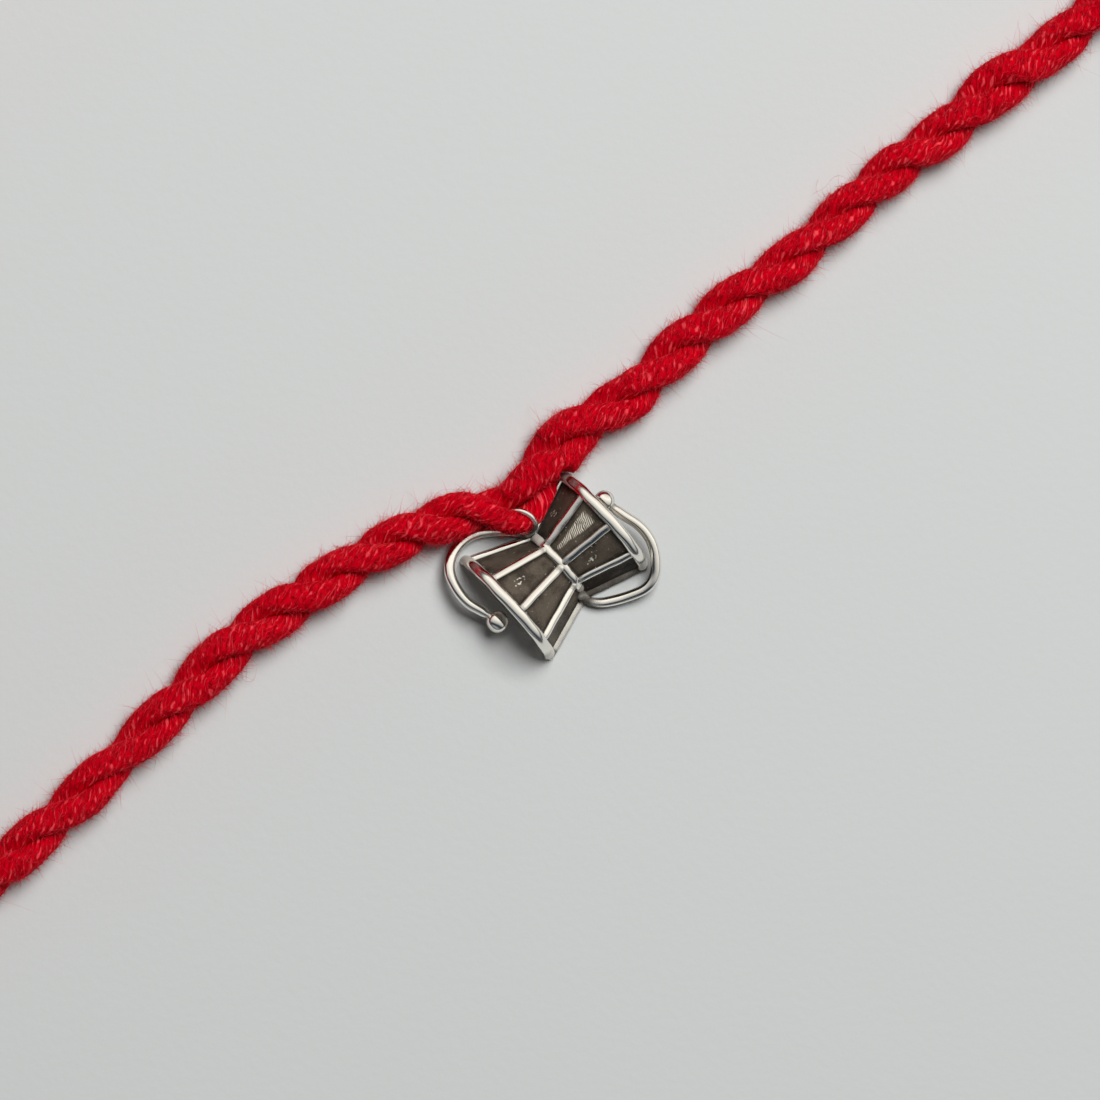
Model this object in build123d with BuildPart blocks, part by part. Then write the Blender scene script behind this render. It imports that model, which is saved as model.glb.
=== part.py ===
from build123d import *
import math
import os

# Rakhi: a small silver damru, an hourglass drum with a flat back, tied at its waist to a twisted
# red thread that goes round the wrist. Millimetres, +Z up. The drum lies on its flat back and the
# thread lies on the same surface. The origin is under the middle of the drum and its wires.

# Drum body: two half cones that meet at the waist. Their axis lies in the plane of the flat back.
AXIS_ANGLE = 41.7            # the axis points this far above +X, in degrees
WAIST_PLACE = (0.45, 0.22)   # where the waist's plane crosses the axis
LEFT_LENGTH = 5.5            # waist to left rim
RIGHT_LENGTH = 5.2           # waist to right rim
LEFT_RIM_RADIUS = 5.2        # to the middle of the rim wire
RIGHT_RIM_RADIUS = 4.9
WAIST_RADIUS = 2.92          # to the middle of the waist wire
PANEL_DROP = 0.15            # the panels lie this far inside the middle of the wires

# Wires soldered to the body
RIM_WIRE = 0.95
WAIST_WIRE = 0.78
RIB_WIRE = 0.66
RIB_COUNT = 5
RIB_STEP = 40.0              # degrees from rib to rib round the axis
RIB_LEAN = 5.0               # the middle rib stands this far off the top, away from the thread

# Clappers: a hooked wire on each side of the waist, with a ball in front of the drum's head.
# A row for each corner of the wire, from the first bend to the middle of the ball, as shares: along
# the axis of the rim's distance, out from the axis of the rim's radius, and up of the ball's height.
# The wire's foot is given from the waist: along the axis, beyond the waist's radius, and up.
CLAPPER_WIRE = 0.86
CLAPPER_HEIGHT = 2.2         # to the middle of the ball
LEFT_BALL = 1.75
RIGHT_BALL = 1.60
LEFT_FOOT = (0.0, 0.252, 0.616)
RIGHT_FOOT = (-0.468, 0.902, 0.616)
LEFT_CLAPPER = [
    # along, out, up
    (0.30, 0.97, 0.27),
    (0.74, 1.26, 0.30),
    (1.26, 1.13, 0.70),
    (1.46, 0.56, 0.96),
    (1.37, 0.17, 1.00),
    (1.24, -0.02, 1.00),
]
RIGHT_CLAPPER = [
    # along, out, up
    (0.20, 1.17, 0.30),
    (0.74, 1.34, 0.60),
    (1.20, 1.05, 0.92),
    (1.45, 0.45, 1.00),
    (1.31, 0.04, 1.00),
    (1.24, -0.24, 1.00),
]

# Jump ring for the thread, soldered to the waist
RING_RADIUS = 1.20           # to the middle of the wire
RING_WIRE = 0.36
RING_PLACE = (0.03, 2.05, 2.10)  # along the axis, beyond the waist's radius, and up
RING_TURN = -55.0            # direction, from the axis, of the ring's level diameter
RING_LEAN = 37.0             # the ring leans this far from upright

# Lumps of solder that hold the clappers' feet and the ring to the waist. The side is 1 towards the
# thread and -1 away from it, and the place is given as a foot's.
SOLDER = [
    # side, along, beyond, up, diameter
    (1, -0.10, 0.70, 1.00, 1.20),
    (-1, -0.40, 0.53, 0.50, 1.30),
]

# Thread
THREAD_DIAMETER = 3.8
WIRE_CLEARANCE = 0.12        # round the ring's and the left clapper's wire, where thread meets them

# Knot that ties the thread's ends, with the two ends standing out of it
KNOT_LENGTH = 8.0
KNOT_DIAMETER = 5.4
KNOT_TAIL_DIAMETER = 3.0
KNOT_TAIL_LENGTH = 7.0
KNOT_TAIL_SPREAD = 28.0      # degrees from the square to the thread, one tail each way

LOW = THREAD_DIAMETER / 2
RAISED = KNOT_DIAMETER / 2
# Corners of the thread's route, from the knot round the left of the loop, past the charm and back,
# in stretches of tube that meet half-way along a run
THREAD_ROUTE = {
    "thread_far_left": [
        (-40.8, 56.9, RAISED),
        (-57.8, 39.4, LOW),
        (-67.3, 17.4, LOW),
    ],
    "thread_left_turn": [
        (-70.5, -5.1, LOW),
        (-69.3, -18.5, LOW),
        (-63.9, -26.3, LOW),
        (-55.4, -29.2, LOW),
        (-46.9, -26.3, LOW),
    ],
    "thread_front_left": [
        (-41.1, -20.6, LOW),
        (-35.7, -15.9, LOW),
        (-29.1, -8.6, LOW),
        (-22.8, -3.6, LOW),
    ],
    "thread_at_charm": [
        (-16.3, 0.5, LOW),
        (-10.2, 3.8, LOW),
        (-4.8, 4.4, LOW),
        (-1.0, 8.6, LOW),
        (3.2, 12.5, LOW),
    ],
    "thread_front_right": [
        (8.5, 16.1, LOW),
        (16.9, 23.5, LOW),
        (27.8, 32.4, LOW),
        (38.8, 41.0, LOW),
    ],
    "thread_right_turn": [
        (46.6, 47.2, LOW),
        (50.6, 55.1, LOW),
        (48.8, 63.9, LOW),
        (41.8, 69.7, LOW),
        (28.7, 72.9, LOW),
    ],
    "thread_far_right": [
        (7.2, 73.3, LOW),
        (-17.8, 68.3, RAISED),
    ],
}

os.makedirs("parts", exist_ok=True)

axis_direction = Vector(1, 0, 0).rotate(Axis.Z, AXIS_ANGLE)
drum_plane = Plane(origin=(*WAIST_PLACE, 0), x_dir=axis_direction, z_dir=(0, 0, 1))
drum_axis = Axis(drum_plane.origin, axis_direction)


def at_drum(along, out, up=0.0):
    """A place given along the drum's axis from its waist, out towards the thread, and up."""
    return drum_plane.from_local_coords(Vector(along, out, up))


def on_cone(along, radius, angle):
    """A place at a radius from the axis; the angle is from the top, away from the thread."""
    turn = math.radians(angle)
    return at_drum(along, -radius * math.sin(turn), radius * math.cos(turn))


def corner_radii(corners):
    """The largest even bends: 0.45 of the shorter run over the tangent of half the turn."""
    radii = []
    for before, here, after in zip(corners, corners[1:], corners[2:]):
        run_in = here - before
        run_out = after - here
        half_turn = math.radians(run_in.get_angle(run_out)) / 2
        radii.append(0.45 * min(run_in.length, run_out.length) / math.tan(half_turn))
    return radii


def round_bar(start, end, diameter):
    """Add a straight round bar to the part that is being built."""
    way = end - start
    with BuildSketch(Plane(origin=start, z_dir=way.normalized())) as section:
        Circle(diameter / 2)
    extrude(section.sketch, amount=way.length)


def bent_bar(corners, radii, diameter, mode=Mode.ADD):
    """Add or cut a round bar along straight runs joined by arcs, and return its line's length."""
    with BuildLine() as line:
        FilletPolyline(*corners, radius=radii)
    way = (corners[1] - corners[0]).normalized()
    with BuildSketch(Plane(origin=corners[0], z_dir=way)) as section:
        Circle(diameter / 2)
    sweep(section.sketch, path=line.wires()[0], mode=mode)
    return line.wires()[0].length


def half_hoop(along, radius, wire):
    """Add a half ring of round wire that stands across the drum's axis."""
    with BuildSketch(drum_plane) as section:
        with Locations((along, radius)):
            Circle(wire / 2)
    revolve(section.sketch, axis=drum_axis, revolution_arc=180)


def beyond_waist(side, along, beyond, up):
    """A place near the waist; side is 1 towards the thread and -1 away from it."""
    return at_drum(along, side * (WAIST_RADIUS + beyond), up)


def clapper_corners(foot, rows, side, length, radius):
    """Corners of a hooked wire; side is -1 for the left half of the drum and 1 for the right."""
    bends = [
        at_drum(side * along * length, -side * out * radius, up * CLAPPER_HEIGHT)
        for along, out, up in rows
    ]
    return [beyond_waist(-side, *foot), *bends]


def clapper(corners, ball):
    """Add a hooked wire and the ball at its end."""
    bent_bar(corners, corner_radii(corners), CLAPPER_WIRE)
    with Locations(corners[-1]):
        Sphere(ball / 2)


left_clapper = clapper_corners(LEFT_FOOT, LEFT_CLAPPER, -1, LEFT_LENGTH, LEFT_RIM_RADIUS)
right_clapper = clapper_corners(RIGHT_FOOT, RIGHT_CLAPPER, 1, RIGHT_LENGTH, RIGHT_RIM_RADIUS)

# Plane of the jump ring: its level diameter, and the leaning diameter across that
level = axis_direction.rotate(Axis.Z, RING_TURN)
leaning = level.rotate(Axis.Z, 90) * math.sin(math.radians(RING_LEAN))
leaning += Vector(0, 0, math.cos(math.radians(RING_LEAN)))
ring_plane = Plane(origin=beyond_waist(1, *RING_PLACE), x_dir=level, z_dir=level.cross(leaning))

# Charm: body with closed heads, rims, waist, ribs, clappers and jump ring, soldered into one
with BuildPart() as damru_charm:
    with BuildSketch(drum_plane):
        with BuildLine():
            Polyline(
                (-LEFT_LENGTH, 0),
                (-LEFT_LENGTH, LEFT_RIM_RADIUS - PANEL_DROP),
                (0, WAIST_RADIUS - PANEL_DROP),
                (RIGHT_LENGTH, RIGHT_RIM_RADIUS - PANEL_DROP),
                (RIGHT_LENGTH, 0),
                close=True,
            )
        make_face()
    revolve(axis=drum_axis, revolution_arc=180)

    half_hoop(-LEFT_LENGTH, LEFT_RIM_RADIUS, RIM_WIRE)
    half_hoop(0, WAIST_RADIUS, WAIST_WIRE)
    half_hoop(RIGHT_LENGTH, RIGHT_RIM_RADIUS, RIM_WIRE)

    for number in range(RIB_COUNT):
        angle = RIB_LEAN + RIB_STEP * (number - (RIB_COUNT - 1) / 2)
        waist_end = on_cone(0, WAIST_RADIUS, angle)
        round_bar(waist_end, on_cone(-LEFT_LENGTH, LEFT_RIM_RADIUS, angle), RIB_WIRE)
        round_bar(waist_end, on_cone(RIGHT_LENGTH, RIGHT_RIM_RADIUS, angle), RIB_WIRE)

    clapper(left_clapper, LEFT_BALL)
    clapper(right_clapper, RIGHT_BALL)

    for side, along, beyond, up, diameter in SOLDER:
        with Locations(beyond_waist(side, along, beyond, up)):
            Sphere(diameter / 2)
    with Locations(ring_plane):
        Torus(RING_RADIUS, RING_WIRE / 2)
    split(bisect_by=drum_plane, keep=Keep.TOP)

damru_charm.part.label = "damru_charm"
export_step(damru_charm.part, "parts/damru_charm.step")

# Knot: a barrel half-way between the ends of the route, and two thread ends lying on the surface
route = [Vector(*corner) for corners in THREAD_ROUTE.values() for corner in corners]
knot_way = (route[0] - route[-1]).normalized()
knot_middle = (route[0] + route[-1]) / 2
knot_start = knot_middle - knot_way * (KNOT_LENGTH / 2)
knot_end = knot_middle + knot_way * (KNOT_LENGTH / 2)
tail_root = knot_middle + Vector(0, 0, KNOT_TAIL_DIAMETER / 2 - RAISED)
tail_reach = KNOT_DIAMETER / 2 + KNOT_TAIL_LENGTH

with BuildPart() as tie_knot:
    with BuildSketch(Plane(origin=knot_start, x_dir=knot_way, z_dir=(0, 0, 1))):
        with BuildLine():
            Polyline((0, LOW), (0, 0), (KNOT_LENGTH, 0), (KNOT_LENGTH, LOW))
            ThreePointArc((KNOT_LENGTH, LOW), (KNOT_LENGTH / 2, RAISED), (0, LOW))
        make_face()
    revolve(axis=Axis(knot_middle, knot_way))
    for spread in (-KNOT_TAIL_SPREAD, KNOT_TAIL_SPREAD):
        tail_way = knot_way.rotate(Axis.Z, spread - 90)
        round_bar(tail_root, tail_root + tail_way * tail_reach, KNOT_TAIL_DIAMETER)

tie_knot.part.label = "tie_knot"
export_step(tie_knot.part, "parts/tie_knot.step")

# Thread: a round tube in stretches. The one at the charm has a slot for the jump ring's wire,
# which goes between its strands, and a groove where it lies over the left clapper's wire.
line = [knot_end, *route, knot_start]
radii = corner_radii(line)
thread_length = KNOT_LENGTH
tube_volume = 0.0
first = 1
for name, stretch_corners in THREAD_ROUTE.items():
    last = first + len(stretch_corners) - 1
    start = knot_end if first == 1 else (line[first - 1] + line[first]) / 2
    end = knot_start if last == len(route) else (line[last] + line[last + 1]) / 2
    with BuildPart() as stretch:
        corners = [start, *line[first:last + 1], end]
        thread_length += bent_bar(corners, radii[first - 1:last], THREAD_DIAMETER)
        tube_volume += stretch.part.volume
        if name == "thread_at_charm":
            with Locations(ring_plane):
                Torus(RING_RADIUS, RING_WIRE / 2 + WIRE_CLEARANCE, mode=Mode.SUBTRACT)
            groove = CLAPPER_WIRE + 2 * WIRE_CLEARANCE
            bent_bar(left_clapper, corner_radii(left_clapper), groove, mode=Mode.SUBTRACT)
    stretch.part.label = name
    export_step(stretch.part, f"parts/{name}.step")
    first = last + 1

tube_length = thread_length - KNOT_LENGTH
print("corner radii of the thread", [round(radius, 1) for radius in radii])
print("length round the loop", round(thread_length, 1))
print("volume of the tubes", round(tube_volume, 1))
print("section times length", round(math.pi * THREAD_DIAMETER**2 / 4 * tube_length, 1))
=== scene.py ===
"""A red wrist thread with a small silver drum charm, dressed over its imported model.

Lengths are in millimetres until a mesh is made, where they become metres. The drum lies on its flat
back with its axis 41.7 degrees above +X, and the thread lies on the same surface.
"""

import logging
import math
from dataclasses import dataclass
from enum import Enum

import bpy
import numpy as np
from mathutils import Matrix, Vector


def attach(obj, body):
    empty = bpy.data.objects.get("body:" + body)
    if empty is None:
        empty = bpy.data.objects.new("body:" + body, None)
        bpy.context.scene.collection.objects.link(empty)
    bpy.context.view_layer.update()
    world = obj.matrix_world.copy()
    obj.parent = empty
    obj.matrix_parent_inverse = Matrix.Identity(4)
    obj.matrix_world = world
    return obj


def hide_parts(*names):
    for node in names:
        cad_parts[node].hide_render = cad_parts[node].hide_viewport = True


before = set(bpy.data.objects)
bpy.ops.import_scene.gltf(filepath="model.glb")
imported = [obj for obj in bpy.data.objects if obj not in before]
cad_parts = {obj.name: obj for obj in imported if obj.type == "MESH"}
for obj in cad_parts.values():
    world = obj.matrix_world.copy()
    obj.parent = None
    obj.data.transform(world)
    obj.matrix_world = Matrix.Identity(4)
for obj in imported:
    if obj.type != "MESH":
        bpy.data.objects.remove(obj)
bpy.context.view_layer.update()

MM = 0.001
LOG = logging.getLogger("bracelet")
UP = np.array((0.0, 0.0, 1.0))
FULL_TURN = 2 * math.pi

Place = tuple[float, float, float]
Colour = tuple[float, float, float, float]
Array = np.ndarray
Draws = np.random.Generator
Material = bpy.types.Material
Socket = bpy.types.NodeSocket


class Slot(Enum):
    """The record's material slots."""

    SILVER = "silver"
    YARN = "red_yarn"


class End(Enum):
    """How a wire's end is closed."""

    FLAT = "flat"
    ROUND = "round"


# Small vector helpers


def unit(vectors: Array) -> Array:
    """Each vector scaled to length 1."""
    length = np.linalg.norm(vectors, axis=-1, keepdims=True)
    return vectors / np.maximum(length, 1e-12)


def arc_lengths(points: Array) -> Array:
    """The distance along a line at each of its points, from 0."""
    steps = np.linalg.norm(np.diff(points, axis=0), axis=1)
    return np.concatenate(([0.0], np.cumsum(steps)))


def resample(points: Array, count: int) -> Array:
    """The same line with evenly spaced points.

    Args:
        points: the line's points, one a row.
        count: how many points the new line has, its two ends among them.

    Returns:
        The new points, one a row.
    """
    arc = arc_lengths(points)
    even = np.linspace(0.0, arc[-1], count)
    return np.stack([np.interp(even, arc, points[:, axis]) for axis in range(3)], axis=1)


def wander(arc: Array, length: float, cycles: tuple[int, ...], draw: Draws) -> Array:
    """A smooth wave between about -1 and 1 that is the same at both ends of the length.

    Args:
        arc: where the wave is wanted.
        length: the length over which the wave repeats.
        cycles: how many times each part of the wave goes up and down over the length.
        draw: the source of the random phases.

    Returns:
        The wave's value at each place.
    """
    total = np.zeros_like(arc)
    for count in cycles:
        phase = draw.uniform(0, FULL_TURN)
        total += np.sin(FULL_TURN * count * arc / length + phase)
    return total / len(cycles)


def hill(values: Array, middle: float, reach: float | Array) -> Array:
    """A smooth hill: 1 at its middle, and about a third at its reach to both sides."""
    return np.exp(-(((values - middle) / reach) ** 2))


def nurbs_line(name: str, corners: Array, steps: int) -> Array:
    """The smooth NURBS line that a row of control points gives.

    Args:
        name: a name for the curve while it is read.
        corners: the control points, one a row.
        steps: how many points each stretch of the curve is read at.

    Returns:
        The line's points, one a row.
    """
    curve = bpy.data.curves.new(name, "CURVE")
    curve.dimensions = "3D"
    curve.resolution_u = steps
    spline = curve.splines.new("NURBS")
    spline.points.add(len(corners) - 1)
    for point, corner in zip(spline.points, corners):
        point.co = (*corner, 1.0)
    spline.order_u = 3
    spline.use_endpoint_u = True
    holder = bpy.data.objects.new(name, curve)
    read = bpy.data.meshes.new_from_object(holder)
    points = np.array([tuple(vertex.co) for vertex in read.vertices])
    bpy.data.objects.remove(holder)
    bpy.data.meshes.remove(read)
    bpy.data.curves.remove(curve)
    return points


# Mesh helpers


class Shape:
    """Points and faces that are gathered, in millimetres, and then made into one piece."""

    def __init__(self) -> None:
        """Starts with nothing gathered."""
        self.points: list[Array] = []
        self.masks: list[Array] = []
        self.faces: list[list[int]] = []
        self.uvs: list[Array] = []
        self.count = 0

    def add(
        self,
        points: Array,
        faces: list[list[int]],
        mask: Array | float = 0.0,
        uvs: Array | None = None,
    ) -> None:
        """Gathers one more body.

        Args:
            points: its points, one a row.
            faces: its faces, as lists of point numbers that start at 0.
            mask: a number for each point that its material reads, or one for all of them.
            uvs: a place for each corner of each face, in the order of the faces.
        """
        self.points.append(points)
        self.masks.append(np.broadcast_to(np.asarray(mask, dtype=float), (len(points),)))
        self.faces.extend([[index + self.count for index in face] for face in faces])
        corners = sum(len(face) for face in faces)
        self.uvs.append(np.zeros((corners, 2)) if uvs is None else uvs)
        self.count += len(points)

    def keep_above(self, level: float) -> None:
        """Lifts every point that is below a level up to it."""
        for points in self.points:
            points[:, 2] = np.maximum(points[:, 2], level)

    def make(self, name: str, material: Material) -> bpy.types.Object:
        """Makes the gathered bodies into one smooth piece that rides on the model.

        Args:
            name: the piece's name.
            material: its material.

        Returns:
            The new object, which sits at the origin.
        """
        mesh = bpy.data.meshes.new(name)
        mesh.from_pydata((np.concatenate(self.points) * MM).tolist(), [], self.faces)
        layer = mesh.uv_layers.new(name="UVMap")
        layer.data.foreach_set("uv", np.concatenate(self.uvs).astype(np.float32).ravel())
        mask = mesh.attributes.new("mask", "FLOAT", "POINT")
        mask.data.foreach_set("value", np.concatenate(self.masks).astype(np.float32))
        mesh.polygons.foreach_set("use_smooth", np.ones(len(mesh.polygons), dtype=bool))
        mesh.materials.append(material)
        mesh.update()
        piece = bpy.data.objects.new(name, mesh)
        bpy.context.scene.collection.objects.link(piece)
        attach(piece, "root")
        triangles = sum(len(face) - 2 for face in self.faces)
        LOG.info("%s: %d triangles", name, triangles)
        return piece


def grid_faces(rows: int, columns: int, closed_rows: bool, closed_columns: bool) -> Array:
    """The four-sided faces of a grid of points.

    Args:
        rows: how many rows of points it has.
        columns: how many points each row has.
        closed_rows: whether the last row joins the first.
        closed_columns: whether the last point of a row joins its first.

    Returns:
        The faces, four point numbers a row.
    """
    row = np.arange(rows if closed_rows else rows - 1)[:, None]
    column = np.arange(columns if closed_columns else columns - 1)[None, :]
    next_row = (row + 1) % rows
    next_column = (column + 1) % columns
    corners = (
        row * columns + column,
        row * columns + next_column,
        next_row * columns + next_column,
        next_row * columns + column,
    )
    spread = [np.broadcast_to(corner, (row.size, column.size)) for corner in corners]
    return np.stack(spread, axis=-1).reshape(-1, 4)


def end_faces(rows: int, columns: int) -> list[list[int]]:
    """The two faces that close the first and the last row of a grid of points.

    Args:
        rows: how many rows of points the grid has.
        columns: how many points each row has.

    Returns:
        The first row's face in the order of its points, and the last row's the other way round.
    """
    last = (rows - 1) * columns
    return [list(range(columns)), [last + index for index in range(columns)][::-1]]


def carried_frames(points: Array, first: Array) -> tuple[Array, Array, Array]:
    """Frames that are carried along a line without twist.

    Args:
        points: the line's points, one a row.
        first: a direction across the line at its start.

    Returns:
        The way along, and two ways across, at each point.
    """
    way = unit(np.gradient(points, axis=0))
    across = np.zeros_like(points)
    side = first
    for index, along in enumerate(way):
        side = side - along * side.dot(along)
        side = side / np.linalg.norm(side)
        across[index] = side
    return way, across, np.cross(way, across)


def add_wire(
    shape: Shape,
    points: Array,
    radius: Array | float,
    mask: Array | float = 0.0,
    sides: int = 20,
    end: End = End.ROUND,
    face: Array = UP,
    flat: float = 1.0,
    shade: float = 0.0,
    stripe: Array | float = 0.0,
) -> None:
    """Adds a round or oval wire along a line.

    Args:
        shape: what the wire is added to.
        points: the line's points, one a row.
        radius: the wire's radius at each point, or one for all of them.
        mask: the material's number at each point, or one for all of them.
        sides: how many sides the wire has.
        end: how both ends are closed.
        face: the way that the wire's open side faces, at each point or for all of them.
        flat: how thick the wire is in that way, as a share of its width.
        shade: how much painted shade darkens the wire's other sides, which turn away from its open side.
        stripe: how much a painted dark reflection darkens the middle of its open side, at each point.
    """
    face = np.broadcast_to(face, points.shape)
    radius, mask, stripe = (
        np.broadcast_to(np.asarray(value, dtype=float), (len(points),)) for value in (radius, mask, stripe)
    )
    if end is End.ROUND:
        way = unit(np.gradient(points, axis=0))
        turns = np.radians((80, 60, 40, 20))
        rings = len(turns)
        head = [points[0] - way[0] * radius[0] * math.sin(turn) for turn in turns]
        tail = [points[-1] + way[-1] * radius[-1] * math.sin(turn) for turn in turns[::-1]]
        points = np.concatenate((head, points, tail))
        small = np.cos(turns)
        radius = np.concatenate((radius[0] * small, radius, radius[-1] * small[::-1]))
        mask = np.pad(mask, rings, mode="edge")
        stripe = np.pad(stripe, rings)
        face = np.pad(face, ((rings, rings), (0, 0)), mode="edge")
    first = np.cross(points[1] - points[0], (0.31, 0.57, 0.76))
    _, across, other = carried_frames(points, first)
    angle = FULL_TURN * np.arange(sides) / sides
    ring = across[:, None] * np.cos(angle)[:, None] + other[:, None] * np.sin(angle)[:, None]
    open_side = (ring * face[:, None, :]).sum(axis=-1)
    turned_away = np.clip((0.55 - open_side) / 0.6, 0, 1)
    middle = np.clip((open_side - 0.42) / 0.28, 0, 1)
    section = ring + face[:, None, :] * (open_side * (flat - 1))[..., None]
    body = (points[:, None, :] + section * radius[:, None, None]).reshape(-1, 3)
    faces = grid_faces(len(points), sides, False, True).tolist()
    faces.extend(face[::-1] for face in end_faces(len(points), sides))
    # Tarnish from the mask, painted shade on the sides turned away from the open side, and a painted dark
    # reflection in the middle of that side
    wire_tarnish_and_shade = mask[:, None] + shade * turned_away + stripe[:, None] * middle
    shape.add(body, faces, wire_tarnish_and_shade.ravel())


def add_ball(
    shape: Shape, centre: Array, radii: Place, rough: float, seed: int, mask: float
) -> None:
    """Adds a ball, or a lump when it is rough, with painted shade on its lower side.

    Args:
        shape: what the ball is added to.
        centre: its middle.
        radii: its three radii.
        rough: how uneven it is, as a share of its radius.
        seed: the seed of its unevenness.
        mask: the material's number for it.
    """
    draw = np.random.default_rng(seed)
    rings, sides = 22, 32
    down = np.linspace(0, math.pi, rings + 1)[1:-1]
    about = FULL_TURN * np.arange(sides) / sides
    way = np.stack(
        (
            np.sin(down)[:, None] * np.cos(about)[None, :],
            np.sin(down)[:, None] * np.sin(about)[None, :],
            np.broadcast_to(np.cos(down)[:, None], (rings - 1, sides)),
        ),
        axis=-1,
    ).reshape(-1, 3)
    way = np.concatenate((way, ((0, 0, 1), (0, 0, -1))))
    swell = np.ones(len(way))
    for wave in draw.normal(0, 2.6, (7, 3)):
        swell += rough * 0.4 * np.sin(way @ wave + draw.uniform(0, FULL_TURN))
    points = centre + way * np.array(radii) * swell[:, None]
    faces = grid_faces(rings - 1, sides, False, True)[:, ::-1].tolist()
    top, bottom, base = len(way) - 2, len(way) - 1, (rings - 2) * sides
    for index in range(sides):
        after = (index + 1) % sides
        faces.append([top, index, after])
        faces.append([bottom, base + after, base + index])
    # Painted shade on the lower side
    shape.add(points, faces, mask + 1.1 * np.clip(0.70 - way[:, 2], 0, 0.8))


# Node trees


class Graph:
    """A node tree that is being built, with short ways to add and join nodes."""

    def __init__(self, tree: bpy.types.NodeTree) -> None:
        """Takes the tree that the nodes go into."""
        self.tree = tree

    def add(self, kind: str, **settings: object) -> bpy.types.Node:
        """Adds a node.

        Args:
            kind: the node's type, without its ShaderNode prefix.
            settings: values for the node's own settings.

        Returns:
            The new node.
        """
        prefix = "" if kind.startswith(("Node", "Shader")) else "ShaderNode"
        node = self.tree.nodes.new(prefix + kind)
        for name, value in settings.items():
            setattr(node, name, value)
        return node

    def feed(self, node: bpy.types.Node, socket: str | int, value: object) -> None:
        """Joins an output to a socket, or sets the socket's own value.

        Args:
            node: the node that takes it.
            socket: its input, by name or number.
            value: the output or the value.
        """
        if isinstance(value, Socket):
            self.tree.links.new(value, node.inputs[socket])
        else:
            node.inputs[socket].default_value = value

    def result(self, kind: str, *values: object, **settings: object) -> Socket:
        """Adds a node, feeds its inputs in order and gives its first output.

        Args:
            kind: the node's type.
            values: its inputs' values or outputs, in order.
            settings: values for the node's own settings.

        Returns:
            The first output.
        """
        node = self.add(kind, **settings)
        for index, value in enumerate(values):
            self.feed(node, index, value)
        return node.outputs[0]

    def math(self, operation: str, *values: object, clamp: bool = False) -> Socket:
        """A Math node's output, for one to three values or outputs.

        Args:
            operation: what the node works out.
            values: its values or outputs, in order.
            clamp: whether the result is kept between 0 and 1.

        Returns:
            The result.
        """
        return self.result("Math", *values, operation=operation, use_clamp=clamp)

    def span(
        self, value: object, low: float, high: float, to_low: float = 0.0, to_high: float = 1.0
    ) -> Socket:
        """A value moved smoothly from one range to another.

        Args:
            value: the value.
            low: where its range starts.
            high: where its range ends.
            to_low: what it becomes at the start.
            to_high: what it becomes at the end.

        Returns:
            The moved value.
        """
        return self.result("MapRange", value, low, high, to_low, to_high, interpolation_type="SMOOTHSTEP")

    def mix(self, factor: object, first: object, second: object) -> Socket:
        """Two colours mixed by a factor.

        Args:
            factor: how much of the second colour there is.
            first: the first colour.
            second: the second colour.

        Returns:
            The mixed colour.
        """
        node = self.add("Mix", data_type="RGBA")
        self.feed(node, 0, factor)
        self.feed(node, 6, first)
        self.feed(node, 7, second)
        return node.outputs[2]

    def dot(self, vector: object, way: Place) -> Socket:
        """How far a vector goes along a fixed way.

        Args:
            vector: the vector.
            way: the way, as long as one of the wanted units.

        Returns:
            The distance.
        """
        node = self.add("VectorMath", operation="DOT_PRODUCT")
        self.feed(node, 0, vector)
        self.feed(node, 1, way)
        return node.outputs["Value"]

    def noise(self, vector: object, scale: object, detail: float) -> Socket:
        """A noise texture's value.

        Args:
            vector: where it is read.
            scale: how fine it is.
            detail: how many finer layers it has.

        Returns:
            The value, about 0.5 in the middle.
        """
        node = self.add("TexNoise")
        self.feed(node, "Vector", vector)
        self.feed(node, "Scale", scale)
        self.feed(node, "Detail", detail)
        return node.outputs[0]

    def bump(self, height: object, strength: float, distance: float) -> Socket:
        """A bumped normal; the distance is in metres.

        Args:
            height: how high the surface stands.
            strength: how strongly it shows, up to 1.
            distance: how far a height of 1 stands up.

        Returns:
            The normal.
        """
        node = self.add("Bump")
        self.feed(node, "Strength", strength)
        self.feed(node, "Distance", distance)
        self.feed(node, "Height", height)
        return node.outputs[0]


def new_group(
    name: str, inputs: dict[str, float], outputs: tuple[str, ...]
) -> tuple[Graph, dict[str, Socket], bpy.types.Node]:
    """Starts a shared node group with number sockets.

    Args:
        name: the group's name.
        inputs: each input's name and its usual value.
        outputs: the outputs' names.

    Returns:
        The group's graph, its inputs by name, and the node that takes its outputs.
    """
    tree = bpy.data.node_groups.new(name, "ShaderNodeTree")
    for socket, value in inputs.items():
        made = tree.interface.new_socket(name=socket, in_out="INPUT", socket_type="NodeSocketFloat")
        made.default_value = value
    for socket in outputs:
        tree.interface.new_socket(name=socket, in_out="OUTPUT", socket_type="NodeSocketFloat")
    graph = Graph(tree)
    start = graph.add("NodeGroupInput")
    result = graph.add("NodeGroupOutput")
    return graph, {socket: start.outputs[socket] for socket in inputs}, result


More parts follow.
